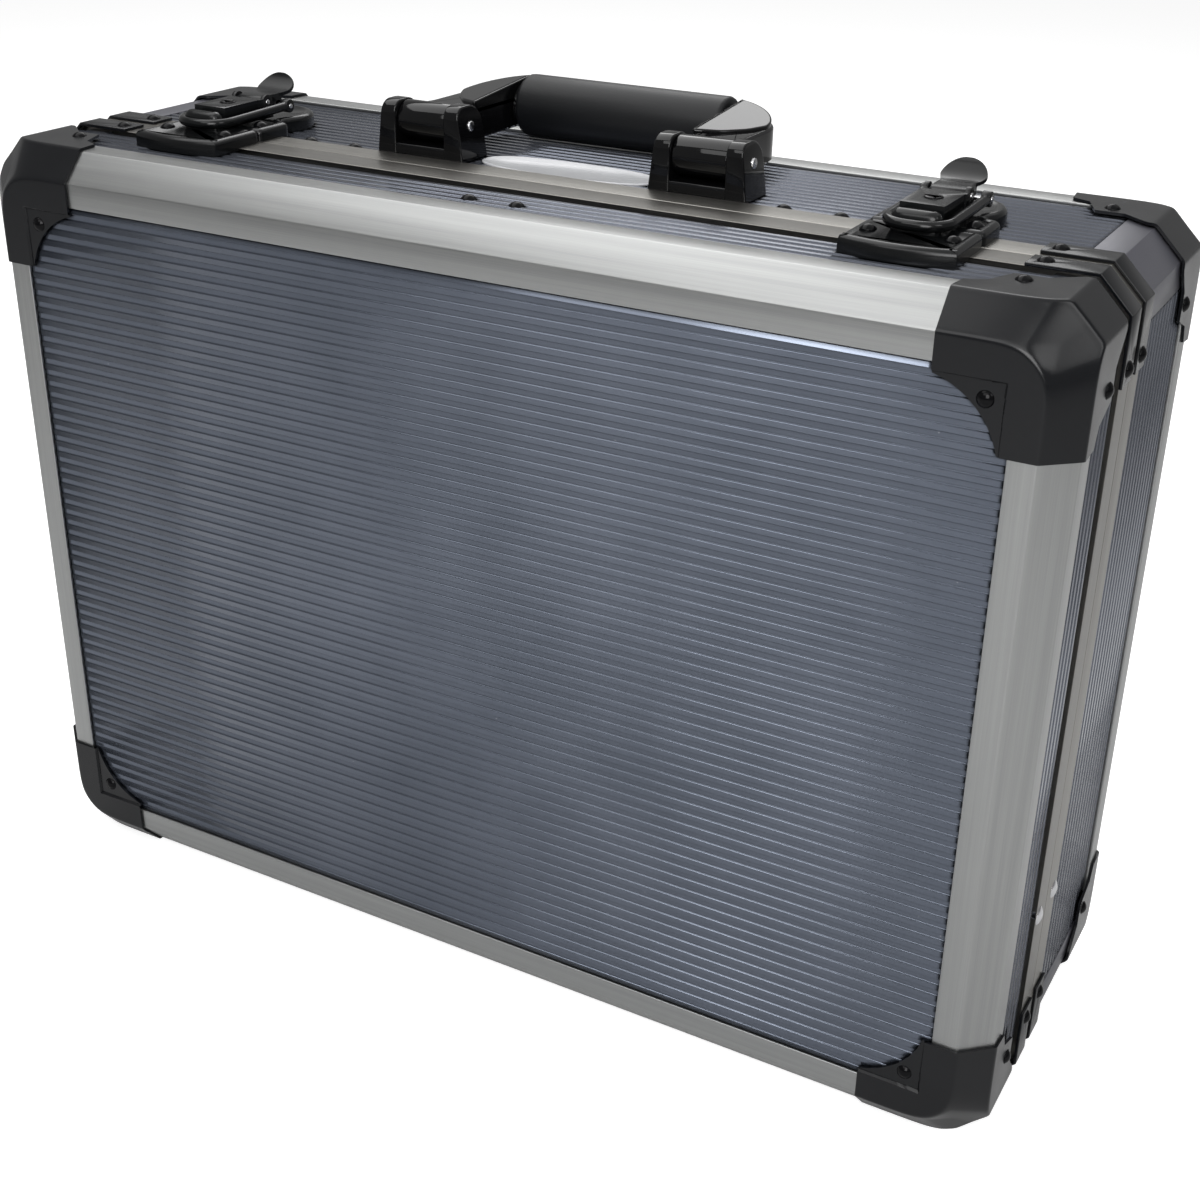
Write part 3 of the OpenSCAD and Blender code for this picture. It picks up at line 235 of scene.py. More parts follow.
def anodised_sheet(name, dark, light, along, shut=0.5, clear=0.92):
    """Anodised sheet whose rolling lines run along x, y or z. Painted shade darkens it where less
    than the share clear of the sky is open, and fully at the share shut, in the creases
    between and beside the ribs."""
    material, tree, output = new_material(name)
    where = add(tree, "ShaderNodeTexCoord").outputs["Object"]
    cloud = add(tree, "ShaderNodeTexNoise",
                {"Vector": where, "Scale": 1000 / cloud_mm, "Detail": 5.0, "Roughness": 0.6})
    stretch = [1000 / rolling_mm * (rolling_stretch if axis == along else 1) for axis in "xyz"]
    lines_at = add(tree, "ShaderNodeMapping", {"Vector": where, "Scale": stretch})
    lines = add(tree, "ShaderNodeTexNoise",
                {"Vector": lines_at.outputs[0], "Scale": 1.0, "Detail": 2.0})
    mixed = add(tree, "ShaderNodeMix", {0: 0.25, 2: cloud.outputs["Fac"],
                                        3: lines.outputs["Fac"]})
    tone = add(tree, "ShaderNodeMapRange",
               {"Value": mixed.outputs[0], "From Min": 0.3, "From Max": 0.7})
    colour = add(tree, "ShaderNodeMix", {0: tone.outputs[0], 6: linear(dark), 7: linear(light)},
                 data_type="RGBA")
    dust = add(tree, "ShaderNodeTexVoronoi", {"Vector": where, "Scale": 1000 / speck_mm})
    speck = add(tree, "ShaderNodeMapRange",
                {"Value": dust.outputs["Distance"], "From Min": speck_inner,
                 "From Max": speck_outer, "To Min": 1.0, "To Max": 0.0})
    chance = add(tree, "ShaderNodeMath", {0: dust.outputs["Color"], 1: speck_rarity},
                 operation="GREATER_THAN")
    dusty = add(tree, "ShaderNodeMath", {0: speck.outputs[0], 1: chance.outputs[0]},
                operation="MULTIPLY")
    speckled = add(tree, "ShaderNodeMix", {0: dusty.outputs[0], 6: colour.outputs[2],
                                           7: linear("#9a9ca3")}, data_type="RGBA")
    rough = add(tree, "ShaderNodeMapRange",
                {"Value": cloud.outputs["Fac"], "From Min": 0.3, "From Max": 0.7,
                 "To Min": 0.16, "To Max": 0.23})
    bump = add(tree, "ShaderNodeBump", {"Height": lines.outputs["Fac"], "Strength": 0.03,
                                        "Distance": 0.03 * MM})
    open_sky = add(tree, "ShaderNodeAmbientOcclusion", {"Distance": crease_mm * MM}, samples=6)
    crease = add(tree, "ShaderNodeMapRange", {"Value": open_sky.outputs["AO"], "From Min": shut,
                                              "From Max": clear, "To Min": 0.05, "To Max": 1.0})
    # Painted shade: near black #0c0d10 is mixed in where the crease mask finds little open sky.
    crease_shaded = add(tree, "ShaderNodeMix", {0: crease.outputs[0], 6: linear("#0c0d10"),
                                         7: speckled.outputs[2]}, data_type="RGBA")
    sheet = add(tree, "ShaderNodeBsdfPrincipled",
                {"Base Color": crease_shaded.outputs[2], "Metallic": 0.75,
                 "Roughness": rough.outputs[0], "Normal": bump.outputs[0]})
    tree.links.new(sheet.outputs[0], output.inputs["Surface"])
    return material


face_sheet = anodised_sheet("anodised_face_sheet", "#565c67", "#686e7a", "x")
field = half_h - chamfer_face - face_band
rib_reach, rib_taper = half_w - chamfer_face - face_band - 0.4, 0.3
panel_w, panel_h, panel_cut = half_w - 13, half_h - 13, 21
count = math.floor((2 * field - rib_w) / rib_pitch)
centres = mid_z + (np.arange(count + 1) - count / 2) * rib_pitch
z, height = rib_profile(centres, mid_z - panel_h, mid_z + panel_h)
widest = np.minimum(panel_w, panel_w + panel_h - panel_cut - np.abs(z - mid_z))
ends = np.stack([widest, np.minimum(rib_reach + rib_taper, widest - 0.2),
                 np.minimum(rib_reach, widest - 0.4)])
x = np.concatenate([-ends, ends[::-1]]).T
raised = height[:, None] * np.array([0, 0, 1, 1, 0, 0])
for node in ("lid_face_panel", "base_back_panel"):
    outer_y, inward, _ = halves[node.split("_")[0]]
    front = grid(x, outer_y + inward * (edge_t - raised), z[:, None])
    back = grid(x, outer_y + inward * (edge_t + panel_t), z[:, None])
    two_skins(node, "sheet", front, back, face_sheet, 80, "face_laminate")

# ---------- Side walls ----------
# The same ribbed sheet on a 4 mm board round the sides, its ribs along the case's edges.
# The lid's walls carry on round the cut corners; the base has smooth bent covers there.

wall_t, corner_cut, cover_leg, rim_w = 4, 11.3, 23, 14
wall_start = chamfer_depth + 3.8
groove_w, groove_deep = 2.6, 3
# Painted light and shade: the side sheets get lighter tones than the face sheet, standing in for
# brighter light on their ribs, and stronger painted shade in their creases (full at 0.72 of open
# sky).
level_sheet = anodised_sheet("anodised_level_side_sheet", "#6a6e78", "#7b7f89", "x", 0.72, 0.97)
upright_sheet = anodised_sheet("anodised_upright_side_sheet", "#6e727c", "#7f838d", "z", 0.72,
                               0.97)


def inset_corner(inset):
    """Leg of the 45 degree corner cut of the case's outline drawn in by inset."""
    return corner_cut - (2 - math.sqrt(2)) * inset


def wall_path(side, round_corners, inset):
    """Line of points (x, z) along one wall at a given inset, and a mask that is 1 on the
    stretch that carries ribs: the wall's middle, without cover_leg at each end."""
    upright = side in ("left", "right")
    half_run, half_out = (half_h, half_w) if upright else (half_w, half_h)
    rib_end = half_run - cover_leg
    if round_corners:
        cut = inset_corner(inset)
        along = [half_run - inset, half_run - inset, half_run - inset - cut,
                 rib_end + rib_taper, rib_end]
        out = [half_out - cover_leg, half_out - inset - cut] + [half_out - inset] * 3
    else:
        along, out = [rib_end, rib_end - rib_taper], [half_out - inset] * 2
    along = np.array([-a for a in along] + along[::-1])
    out = np.array(out + out[::-1])
    mask = (np.abs(along) <= rib_end - (0 if round_corners else rib_taper)).astype(float)
    sign = 1 if side in ("right", "top") else -1
    points = (sign * out, mid_z + along) if upright else (along, mid_z + sign * out)
    return np.stack(points, -1), mask, np.array([sign, 0] if upright else [0, sign])


def side_wall(half, side):
    """Ribbed wall: the rib profile across the depth, carried along the wall's path."""
    face_y, inward, depth = halves[half]
    start = chamfer_depth + side_band + 0.4
    run = depth - rim_w - groove_w - start
    ribs = math.floor((run - rib_w) / rib_pitch)
    first = start + (run - ribs * rib_pitch - rib_w) / 2 + rib_w / 2
    y, height = rib_profile(first + np.arange(ribs + 1) * rib_pitch, wall_start,
                            depth - rim_w - groove_w)
    y = np.concatenate([y, [y[-1] + 0.1, depth - rim_w + 3]])
    height = np.concatenate([height, [-groove_deep, -groove_deep]])
    round_corners = half == "lid" and side in ("left", "right")
    path, mask, normal = wall_path(side, round_corners, edge_t)
    inner, _, _ = wall_path(side, round_corners, edge_t + wall_t)
    lift = height[:, None] * np.where(height[:, None] > 0, mask, 1)
    out = path + normal * lift[..., None]
    deep = (face_y + inward * y)[:, None]
    front = grid(out[..., 0], deep, out[..., 1])
    back = grid(inner[:, 0], deep, inner[:, 1])
    sheet = upright_sheet if side in ("left", "right") else level_sheet
    two_skins(f"{half}_wall_{side}", "sheet", front, back, sheet, 80, "side_laminate")


for half in halves:
    for side in ("top", "bottom", "left", "right"):
        side_wall(half, side)

# ---------- Base corner covers ----------
# Smooth bent sheet round each corner of the base, between the ribs of two walls. It is bent
# twice by 45 degrees, so it shows two soft folds.

bevel_from_deg = 28


def softened(node, kind, radius, material, segments=2, tight=False):
    """A copy of a CAD node's mesh, cleaned of its triangles and rounded by a bevel."""
    name = f"{node}_{kind}"
    shape = bmesh.new()
    shape.from_mesh(nodes[node].data)
    bmesh.ops.remove_doubles(shape, verts=shape.verts, dist=0.0005 * MM)
    bmesh.ops.dissolve_limit(shape, angle_limit=math.radians(0.3), verts=shape.verts,
                             edges=shape.edges)
    mesh = bpy.data.meshes.new(name)
    shape.to_mesh(mesh)
    shape.free()
    mesh.materials.clear()
    mesh.materials.append(material)
    mesh.polygons.foreach_set("material_index", np.zeros(len(mesh.polygons), np.int32))
    mesh.polygons.foreach_set("use_smooth", np.ones(len(mesh.polygons), bool))
    piece = new_object(name, mesh)
    rounding = piece.modifiers.new("rounding", "BEVEL")
    rounding.width = radius * MM
    rounding.segments = segments
    rounding.limit_method = "ANGLE"
    rounding.angle_limit = math.radians(bevel_from_deg)
    rounding.harden_normals = True
    rounding.use_clamp_overlap = tight
    rounding.miter_outer = "MITER_ARC"
    stand_for(piece, node)


# Satin anodised sheet like the walls, without ribs, so it reflects in broad soft bands.
cover_sheet, tree, output = new_material("anodised_plain_sheet")
where = add(tree, "ShaderNodeTexCoord").outputs["Object"]
cloud = add(tree, "ShaderNodeTexNoise", {"Vector": where, "Scale": 25.0, "Detail": 4.0})
tone = add(tree, "ShaderNodeMix", {0: cloud.outputs["Fac"], 6: linear("#4d4d54"),
                                   7: linear("#5a5a61")}, data_type="RGBA")
grain = add(tree, "ShaderNodeTexNoise", {"Vector": where, "Scale": 900.0, "Detail": 2.0})
bump = add(tree, "ShaderNodeBump", {"Height": grain.outputs["Fac"], "Strength": 0.1,
                                    "Distance": 0.05 * MM})
sheet = add(tree, "ShaderNodeBsdfPrincipled",
            {"Base Color": tone.outputs[2], "Metallic": 0.3, "Roughness": 0.36,
             "Normal": bump.outputs[0]})
tree.links.new(sheet.outputs[0], output.inputs["Surface"])
softened("base_corner_covers", "sheet", 0.3, cover_sheet)

# ---------- Edge profiles ----------
# Extruded aluminium angle round both faces: a flat band on the face, a broad sloping band
# and a flat band on the sides. It is brushed along its length and ends under the guards.

edge_end, edge_round = 34, 0.5


def rounded(outline, radius, steps=3):
    """Closed 2-D outline with rounded corners: each corner c turns into the curve
    a(1-t)^2 + 2ct(1-t) + bt^2 between two points a and b at the given distance from it."""
    c = np.asarray(outline, float)
    ends = []
    for shift in (1, -1):
        away = np.roll(c, shift, 0) - c
        length = np.linalg.norm(away, axis=1, keepdims=True)
        ends.append(c + away / length * np.minimum(radius, 0.45 * length))
    t = np.linspace(0, 1, steps + 1)[None, :, None]
    start, middle, end = ends[0][:, None], c[:, None], ends[1][:, None]
    return (start * (1 - t) ** 2 + 2 * middle * t * (1 - t) + end * t ** 2).reshape(-1, 2)


def closed(rings):
    """Points, faces and places of a closed form from a grid of points (rows, turns, 3)
    whose rows run round it: bands of faces between the rows and a cap at each end."""
    rows, turns = rings.shape[:2]
    at = np.arange(rows * turns).reshape(rows, turns)
    nxt = np.roll(at, -1, 1)
    walls = np.stack([at[:-1], nxt[:-1], nxt[1:], at[1:]], -1).reshape(-1, 4)
    points = rings.reshape(-1, 3)
    return points, walls.tolist() + [at[0].tolist(), at[-1].tolist()], points[:, :2]


def prism(outline, start, end):
    """Points (u, v, w) and faces of a closed outline (u, v) carried along w, and a second
    array of points' places (w, distance round the outline) for the brushing."""
    w = np.array([[start], [end]], float)
    step = np.linalg.norm(np.diff(outline, axis=0), axis=1)
    round_it = np.concatenate([[0], np.cumsum(step)])
    return *closed(grid(*outline.T, w))[:2], grid(w, round_it).reshape(-1, 2)


def merged(parts):
    """One list of points, faces and brushing places from several."""
    starts = np.cumsum([0] + [len(part[0]) for part in parts])
    faces = [[index + start for index in face]
             for part, start in zip(parts, starts) for face in part[1]]
    points, brush = [np.concatenate([part[i] for part in parts]) for i in (0, 2)]
    return points, faces, brush


def brushed_piece(node, kind, part, material, crease_deg=35):
    """Piece for a node, whose UV map, in millimetres, runs along the brushing."""
    points, faces, brush = part
    piece = piece_from(f"{node}_{kind}", points, faces, material, crease_deg)
    corners = np.empty(len(piece.data.loops), np.int32)
    piece.data.loops.foreach_get("vertex_index", corners)
    layer = piece.data.uv_layers.new(name="brushing")
    layer.data.foreach_set("uv", brush[corners].astype(np.float32).ravel())
    stand_for(piece, node)


# Brushed aluminium: bare metal whose fine scratches all run one way. They are drawn at
# 0.35 mm, coarser than real ones, and stretch 60 mm, so the metal reads streaky and soft.
streak_mm, scratch_mm, band_mm, band_w = 60, 0.35, 260, 3


def brushed_aluminium(name, dark, light, rough):
    """Brushed metal between two tones, with streaks in its colour, gloss and surface."""
    material, tree, output = new_material(name)
    where = add(tree, "ShaderNodeTexCoord").outputs["UV"]
    fine_at = add(tree, "ShaderNodeMapping",
                  {"Vector": where, "Scale": (1 / streak_mm, 1 / scratch_mm, 1)})
    fine = add(tree, "ShaderNodeTexNoise", {"Vector": fine_at.outputs[0], "Scale": 1.0,
                                            "Detail": 3.0, "Roughness": 0.7})
    broad_at = add(tree, "ShaderNodeMapping",
                   {"Vector": where, "Scale": (1 / band_mm, 1 / band_w, 1)})
    broad = add(tree, "ShaderNodeTexNoise", {"Vector": broad_at.outputs[0], "Scale": 1.0,
                                             "Detail": 2.0})
    mixed = add(tree, "ShaderNodeMath", {0: fine.outputs["Fac"], 1: broad.outputs["Fac"]},
                operation="ADD")
    tone = add(tree, "ShaderNodeMapRange", {"Value": mixed.outputs[0], "From Min": 0.55,
                                            "From Max": 1.45})
    colour = add(tree, "ShaderNodeMix", {0: tone.outputs[0], 6: linear(dark), 7: linear(light)},
                 data_type="RGBA")
    gloss = add(tree, "ShaderNodeMapRange",
                {"Value": fine.outputs["Fac"], "From Min": 0.3, "From Max": 0.7,
                 "To Min": rough - 0.05, "To Max": rough + 0.05})
    bump = add(tree, "ShaderNodeBump", {"Height": fine.outputs["Fac"], "Strength": 0.25,
                                        "Distance": 0.05 * MM})
    metal = add(tree, "ShaderNodeBsdfPrincipled",
                {"Base Color": colour.outputs[2], "Metallic": 1.0,
                 "Roughness": gloss.outputs[0], "Normal": bump.outputs[0]})
    tree.links.new(metal.outputs[0], output.inputs["Surface"])
    return material


edge_metal = brushed_aluminium("brushed_edge_aluminium", "#939494", "#a9aaa9", 0.36)
norm = math.hypot(1 / chamfer_face, 1 / chamfer_depth)
inner_face = chamfer_face * (1 + edge_t * norm - edge_t / chamfer_depth)
inner_depth = chamfer_depth * (1 + edge_t * norm - edge_t / chamfer_face)
face_end, side_end = chamfer_face + face_band, chamfer_depth + side_band
section = rounded([(face_end, edge_t), (inner_face, edge_t), (edge_t, inner_depth),
                   (edge_t, side_end), (0, side_end), (0, chamfer_depth), (chamfer_face, 0),
                   (face_end, 0)], edge_round)
streak_shift = 400
for half, (outer_y, inward, _) in halves.items():
    bars = []
    for sign in (-1, 1):
        points, faces, brush = prism(section, edge_end - half_h, half_h - edge_end)
        u, v, w = points.T
        bars.append((np.c_[sign * (half_w - u), outer_y + inward * v, mid_z + w], faces, brush))
        points, faces, brush = prism(section, edge_end - half_w, half_w - edge_end)
        u, v, w = points.T
        bars.append((np.c_[w, outer_y + inward * v, mid_z + sign * (half_h - u)], faces,
                     brush + streak_shift * sign))
    brushed_piece(half + "_edge_profiles", "bars", merged(bars), edge_metal)

# ---------- Rims ----------
# Two extruded aluminium frames that meet at the split. Each has a thin lip that grips the
# wall, with a dark slot under it. The base's tongue keys into the lid's groove.

shell_t, split_gap, lip_t, lip_round, slot_deep = 5.6, 0.4, 0.35, 0.3, 3
hinge_rise, groove_r, leaf_t = 1.2, 2.5, 1.05
hinge_x, hinge_len = 120, 70.2
tongue_foot = cover_leg + 0.4
rim_metals = {"lid": brushed_aluminium("brushed_lid_rim_aluminium", "#6c6a66", "#868480", 0.36),
              "base": brushed_aluminium("brushed_base_rim_aluminium", "#787672", "#93918c", 0.36)}


def rim_section(tongue_u, tongue, groove, pocket):
    """Closed section (inset from the outside, distance from the wall's end to the split).
    groove is 1 where the hinge knuckles need room, pocket where a hinge leaf lies."""
    end = rim_w - split_gap / 2
    turn = np.linspace(0, 1, 7)
    swing = turn * math.pi / 2
    corner = np.c_[lip_round * (1 - np.cos(swing)), end - lip_round * (1 - np.sin(swing))]
    if groove:
        low = rim_w - math.sqrt(groove_r ** 2 - (hinge_rise - leaf_t * pocket) ** 2)
        first = math.atan2(rim_w - low, leaf_t * pocket - hinge_rise)
        last = math.asin(split_gap / 2 / groove_r)
        angle = first + (last - first) * turn
        corner = np.c_[hinge_rise + groove_r * np.cos(angle), rim_w - groove_r * np.sin(angle)]
    skin = leaf_t * pocket
    inner = [(lip_t, slot_deep), (lip_t, 0.25), (lip_t - 0.15, 0), (0.15, 0), (0, 0.2),
             (0, slot_deep - 0.2), (skin, slot_deep - 0.1)]
    key = [(tongue_u, end), (tongue_u, end + tongue), (shell_t, end + tongue),
           (shell_t, slot_deep)]
    return np.concatenate([inner, corner, key])


def rim_ring(tongue_u, tongue):
    """Stations round the case's outline: their places (x, z) at inset 0, how these shift
    per millimetre of inset, and the section at each."""
    k = 1 - math.sqrt(2)
    plain, no_key = (tongue, 0, 0), (0, 0, 0)
    stations = []
    for side, end, step in itertools.product((-1, 1), (-1, 1), (-0.01, 0.01)):
        x = side * hinge_x + end * hinge_len / 2 + step
        stations.append(((x, -half_h), (0, 1), (0, 1, int(step * end < 0))))
    low = tongue_foot - half_h
    right = [((half_w - corner_cut, -half_h), (k, 1), (0, 1, 0)),
             ((half_w, corner_cut - half_h), (-1, -k), no_key),
             ((half_w, low), (-1, 0), no_key), ((half_w, low + 0.01), (-1, 0), plain),
             ((half_w, half_h - corner_cut), (-1, k), plain),
             ((half_w - corner_cut, half_h), (k, -1), plain)]
    stations += right + [((-x, z), (-u, w), kind) for (x, z), (u, w), kind in right[::-1]]
    places, shifts, kinds = zip(*stations)
    return (np.array(places, float), np.array(shifts, float),
            np.stack([rim_section(tongue_u, *kind) for kind in kinds]))


tongues = {"lid": (3.6, -3.4), "base": (4.4, 3)}
for half, (outer_y, inward, depth) in halves.items():
    tongue_u, tongue = tongues[half]
    places, shifts, sections = rim_ring(tongue_u, tongue)
    inset, along = sections[..., 0], sections[..., 1]
    x = places[:, :1] + inset * shifts[:, :1]
    z = mid_z + places[:, 1:] + inset * shifts[:, 1:]
    y = outer_y + inward * (depth - rim_w + along)
    at = np.arange(x.size).reshape(x.shape)
    after = np.roll(at, -1, 0)
    faces = grid(at, after, np.roll(after, -1, 1), np.roll(at, -1, 1)).reshape(-1, 4)
    run = np.concatenate([[0], np.cumsum(np.linalg.norm(np.diff(places, axis=0), axis=1))])
    part = (grid(x, y, z).reshape(-1, 3), faces.tolist(),
            grid(run[:, None], inset + along).reshape(-1, 2))
    brushed_piece(half + "_rim", "frame", part, rim_metals[half], 30)

# ---------- Linings ----------
# Thin boards faced with black felt inside both halves, glued in edge to edge. They are
# only seen when the case is open.

lining_black, tree, output = new_material("felt_faced_board")
where = add(tree, "ShaderNodeTexCoord").outputs["Object"]
fibre = add(tree, "ShaderNodeTexNoise", {"Vector": where, "Scale": 700.0, "Detail": 4.0})
tone = add(tree, "ShaderNodeMix", {0: fibre.outputs["Fac"], 6: linear("#2a2b2e"),
                                   7: linear("#3d3e42")}, data_type="RGBA")
bump = add(tree, "ShaderNodeBump", {"Height": fibre.outputs["Fac"], "Strength": 0.5,
                                    "Distance": 0.2 * MM})
felt = add(tree, "ShaderNodeBsdfPrincipled",
           {"Base Color": tone.outputs[2], "Roughness": 0.95, "Sheen Weight": 0.2,
            "Normal": bump.outputs[0]})
tree.links.new(felt.outputs[0], output.inputs["Surface"])
for node in ("lid_lining", "base_lining"):
    softened(node, "boards", 0.2, lining_black, 1)

# ---------- Corner guards ----------
# Pressed steel over each corner, coated satin black: two legs along the edges, a hollow
# inner edge, a dished sloping facet across the corner, and a flap down each side.

guard_t, guard_leg = 1.2, 48
arc_at, arc_r = 56, 32.5
facet_face, facet_depth, dish = 31, 13.5, 1.8
guard_low, low_by, crease, blend = 23.6, 1.0, 0.22, 2.4
slope_rows, band_rows, fold_rows, side_rows = 42, 14, 6, 15
flap_x = [14.3, 24, 35, 40, 47, 48]
flap_y = [42, 34, 34, 22, 19, 10.9]


def guard_height(x, z):
    """Depth of the guard's outer skin below the face at (x, z), measured inward from the
    case's sides. It is the smooth maximum k ln(sum of e^(h / k)) of the two slopes and the
    corner facet, with a wide blend, and then of these and the flat flap, with a tight one.
    Inside the facet it sinks by dish (1 - e^(-d / 4))."""
    flat = -guard_t + low_by * smooth_step((np.minimum(x, z) - guard_low + 0.25) / 0.5)
    slopes = [chamfer_depth * (1 - guard_t * norm - a / chamfer_face) for a in (x, z)]
    facet_y = facet_depth / (1 - corner_cut / facet_face)
    away = math.hypot(math.sqrt(2) / facet_face, 1 / facet_y)
    facet = facet_y * (1 - guard_t * away - (x + z) / facet_face)
    inside = np.maximum(facet - np.maximum(flat, np.maximum(*slopes)), 0)
    facet = facet + dish * (1 - np.exp(-inside / 4))
    bent = blend * np.log(sum(np.exp(h / blend) for h in (*slopes, facet)))
    return crease * np.log(np.exp(flat / crease) + np.exp(np.clip(bent, -9, 50) / crease))


def guard_paths():
    """Three matching lines (x, z) from one leg's end to the other: along the hollow inner
    edge, along the foot of the slopes, and along the outside. Each is made for one leg and
    half the corner, then mirrored by swapping x and z."""
    foot = chamfer_face * (1 - guard_t * norm + guard_t / chamfer_depth)
    turn = corner_cut - (math.sqrt(2) - 1) * guard_t
    facet_start, foot_start, bend = 15.6, 30.3 - foot, 1.6
    facet_turn, half_turn = math.radians(57), math.radians(12)
    leg = np.concatenate([np.linspace(a, b, n, endpoint=False) for a, b, n
                          in zip(flap_x[:0:-1], flap_x[-2:0:-1], (2, 5, 4, 9))]
                         + [np.linspace(flap_x[1], facet_start, 8)])
    t = np.linspace(0, 1, 6)
    cut = bend / math.sqrt(2)
    curve = np.c_[turn + bend * (1 - t) ** 2 - cut * t ** 2, -guard_t + cut * t ** 2]
    middle = (turn - guard_t) / 2
    straight = np.linspace(curve[-1, 0], middle, 6)[1:]
    outer = np.concatenate([np.c_[leg, np.full(len(leg), -guard_t)],
                            [(turn + 3, -guard_t)], curve,
                            np.c_[straight, turn - guard_t - straight]])
    corner = np.arange(1, len(outer) - len(leg) + 1) / (len(outer) - len(leg))
    foot_x = np.concatenate([np.interp(leg, [facet_start, guard_leg], [foot_start, guard_leg]),
                             foot_start - (foot_start - foot) / 2 * corner])
    foot_z = np.concatenate([np.full(len(leg), foot), foot + (foot_start - foot) / 2 * corner])
    first = math.acos((arc_at - guard_leg) / arc_r)
    angle = np.concatenate([np.interp(leg, [facet_start, guard_leg], [facet_turn, first]),
                            facet_turn - half_turn * corner])
    inner = arc_at - arc_r * np.c_[np.cos(angle), np.sin(angle)]
    return [np.concatenate([line, line[-2::-1, ::-1]])
            for line in (inner, np.c_[foot_x, foot_z], outer)]


def guard_skins():
    """Outer and inner skins of one guard, as grids (rows, stations, 3) in corner
    coordinates. Rows run from the inner edge over the slope, round the fold and down."""
    inner, foot, outer = guard_paths()
    on_slope = np.linspace(0, 1, slope_rows, endpoint=False)[:, None, None]
    on_band = np.append(np.linspace(0, 1, band_rows, endpoint=False) * 0.9, 0.92)
    face_xz = np.concatenate([inner + (foot - inner) * on_slope,
                              foot + (outer - foot) * on_band[:, None, None]])
    least = face_xz.min(-1, keepdims=True)
    at_step = (face_xz == least) & (np.abs(least - guard_low) < 0.45)
    face_xz = np.where(at_step, guard_low + 0.25 * np.sign(least - guard_low), face_xz)
    x, z = face_xz[..., 0], face_xz[..., 1]
    face = grid(x, guard_height(x, z), z)
    edge_y = guard_height(outer[:, 0], outer[:, 1]) - crease * 0.7
    edge = np.c_[outer[:, 0], edge_y, outer[:, 1]]
    reach = np.maximum(outer.max(1), 0)
    end_y = np.maximum(np.interp(reach, flap_x, flap_y), edge_y + 1.3)
    after = edge + (0, 1, 0)
    t = np.linspace(0, 1, fold_rows + 1)[1:, None, None]
    fold = face[-1] * (1 - t) ** 2 + 2 * edge * t * (1 - t) + after * t ** 2
    t = np.linspace(0, 1, side_rows + 1)[1:, None, None]
    side = after * (1 - t) + np.c_[outer[:, 0], end_y, outer[:, 1]] * t
    skin = np.concatenate([face, fold, side])
    normal = np.cross(np.gradient(skin, axis=0), np.gradient(skin, axis=1))
    normal /= np.linalg.norm(normal, axis=-1, keepdims=True)
    inside = 30  # each coordinate of a point inside the corner
    normal *= np.sign((normal * (inside - skin)).sum(-1, keepdims=True))
    return skin, skin + (guard_t - 0.1) * normal


def black_steel(name, dark, light, rough, peel, shine=0.3):
    """Powder-coated steel: a nearly black coat, satin, with a faint orange peel, dust and
    hairline scratches that catch the light."""
    material, tree, output = new_material(name)
    where = add(tree, "ShaderNodeTexCoord").outputs["Object"]
    cloud = add(tree, "ShaderNodeTexNoise", {"Vector": where, "Scale": 45.0, "Detail": 5.0})
    colour = add(tree, "ShaderNodeMix", {0: cloud.outputs["Fac"], 6: linear(dark),
                                         7: linear(light)}, data_type="RGBA")
    turned = add(tree, "ShaderNodeMapping", {"Vector": where, "Rotation": (0.5, 0.9, 0.7),
                                             "Scale": (900.0, 40.0, 60.0)})
    hair = add(tree, "ShaderNodeTexNoise", {"Vector": turned.outputs[0], "Scale": 1.0,
                                            "Detail": 2.0})
    scratch = add(tree, "ShaderNodeMapRange", {"Value": hair.outputs["Fac"], "From Min": 0.8,
                                               "From Max": 0.88})
    worn = add(tree, "ShaderNodeMix", {0: scratch.outputs[0], 6: colour.outputs[2],
                                       7: linear("#6d6f74")}, data_type="RGBA")
    grain = add(tree, "ShaderNodeTexNoise", {"Vector": where, "Scale": 1400.0, "Detail": 2.0})
    bump = add(tree, "ShaderNodeBump", {"Height": grain.outputs["Fac"], "Strength": peel,
                                        "Distance": 0.06 * MM})
    gloss = add(tree, "ShaderNodeMapRange",
                {"Value": cloud.outputs["Fac"], "From Min": 0.3, "From Max": 0.7,
                 "To Min": rough - 0.04, "To Max": rough + 0.04})
    coat = add(tree, "ShaderNodeBsdfPrincipled",
               {"Base Color": worn.outputs[2], "Roughness": gloss.outputs[0],
                "Specular IOR Level": shine, "Normal": bump.outputs[0]})
    tree.links.new(coat.outputs[0], output.inputs["Surface"])
    return material


guard_black = black_steel("powder_coated_guard_steel", "#0a0b0d", "#0f1013", 0.22, 0.1)
skin, under = guard_skins()
for half, (outer_y, inward, _) in halves.items():
    for upper, up in (("top", 1), ("bottom", -1)):
        for side, right in (("left", -1), ("right", 1)):
            layers = [grid(right * (half_w - layer[..., 0]), outer_y + inward * layer[..., 1],
                           mid_z + up * (half_h - layer[..., 2])) for layer in (skin, under)]
            two_skins(f"{half}_guard_{upper}_{side}", "pressing", *layers, guard_black, 40,
                      "black_steel")

# ---------- Rim clips ----------
# Short strips of the same coated steel, bent over the rims at each corner and riveted to
# the walls behind them.

clip_black = black_steel("powder_coated_clip_steel", "#0a0b0d", "#0f1013", 0.24, 0.12, 0.28)
for node in ("lid_rim_clips", "base_rim_clips"):
    softened(node, "strips", 0.3, clip_black)

# ---------- Rivets ----------
# Steel rivets with low domed heads, coated glossy black. They hold the guards, the clips
# and the latches, and reinforcing plates inside the walls.

rivet_r, rivet_h, rib_level = 3, 1.6, 1.0
latch_x, plate_top, handle_x = 154.5, 5, -1.8
rivet_black = black_steel("gloss_coated_rivet_steel", "#050506", "#08080a", 0.1, 0.02, 0.12)


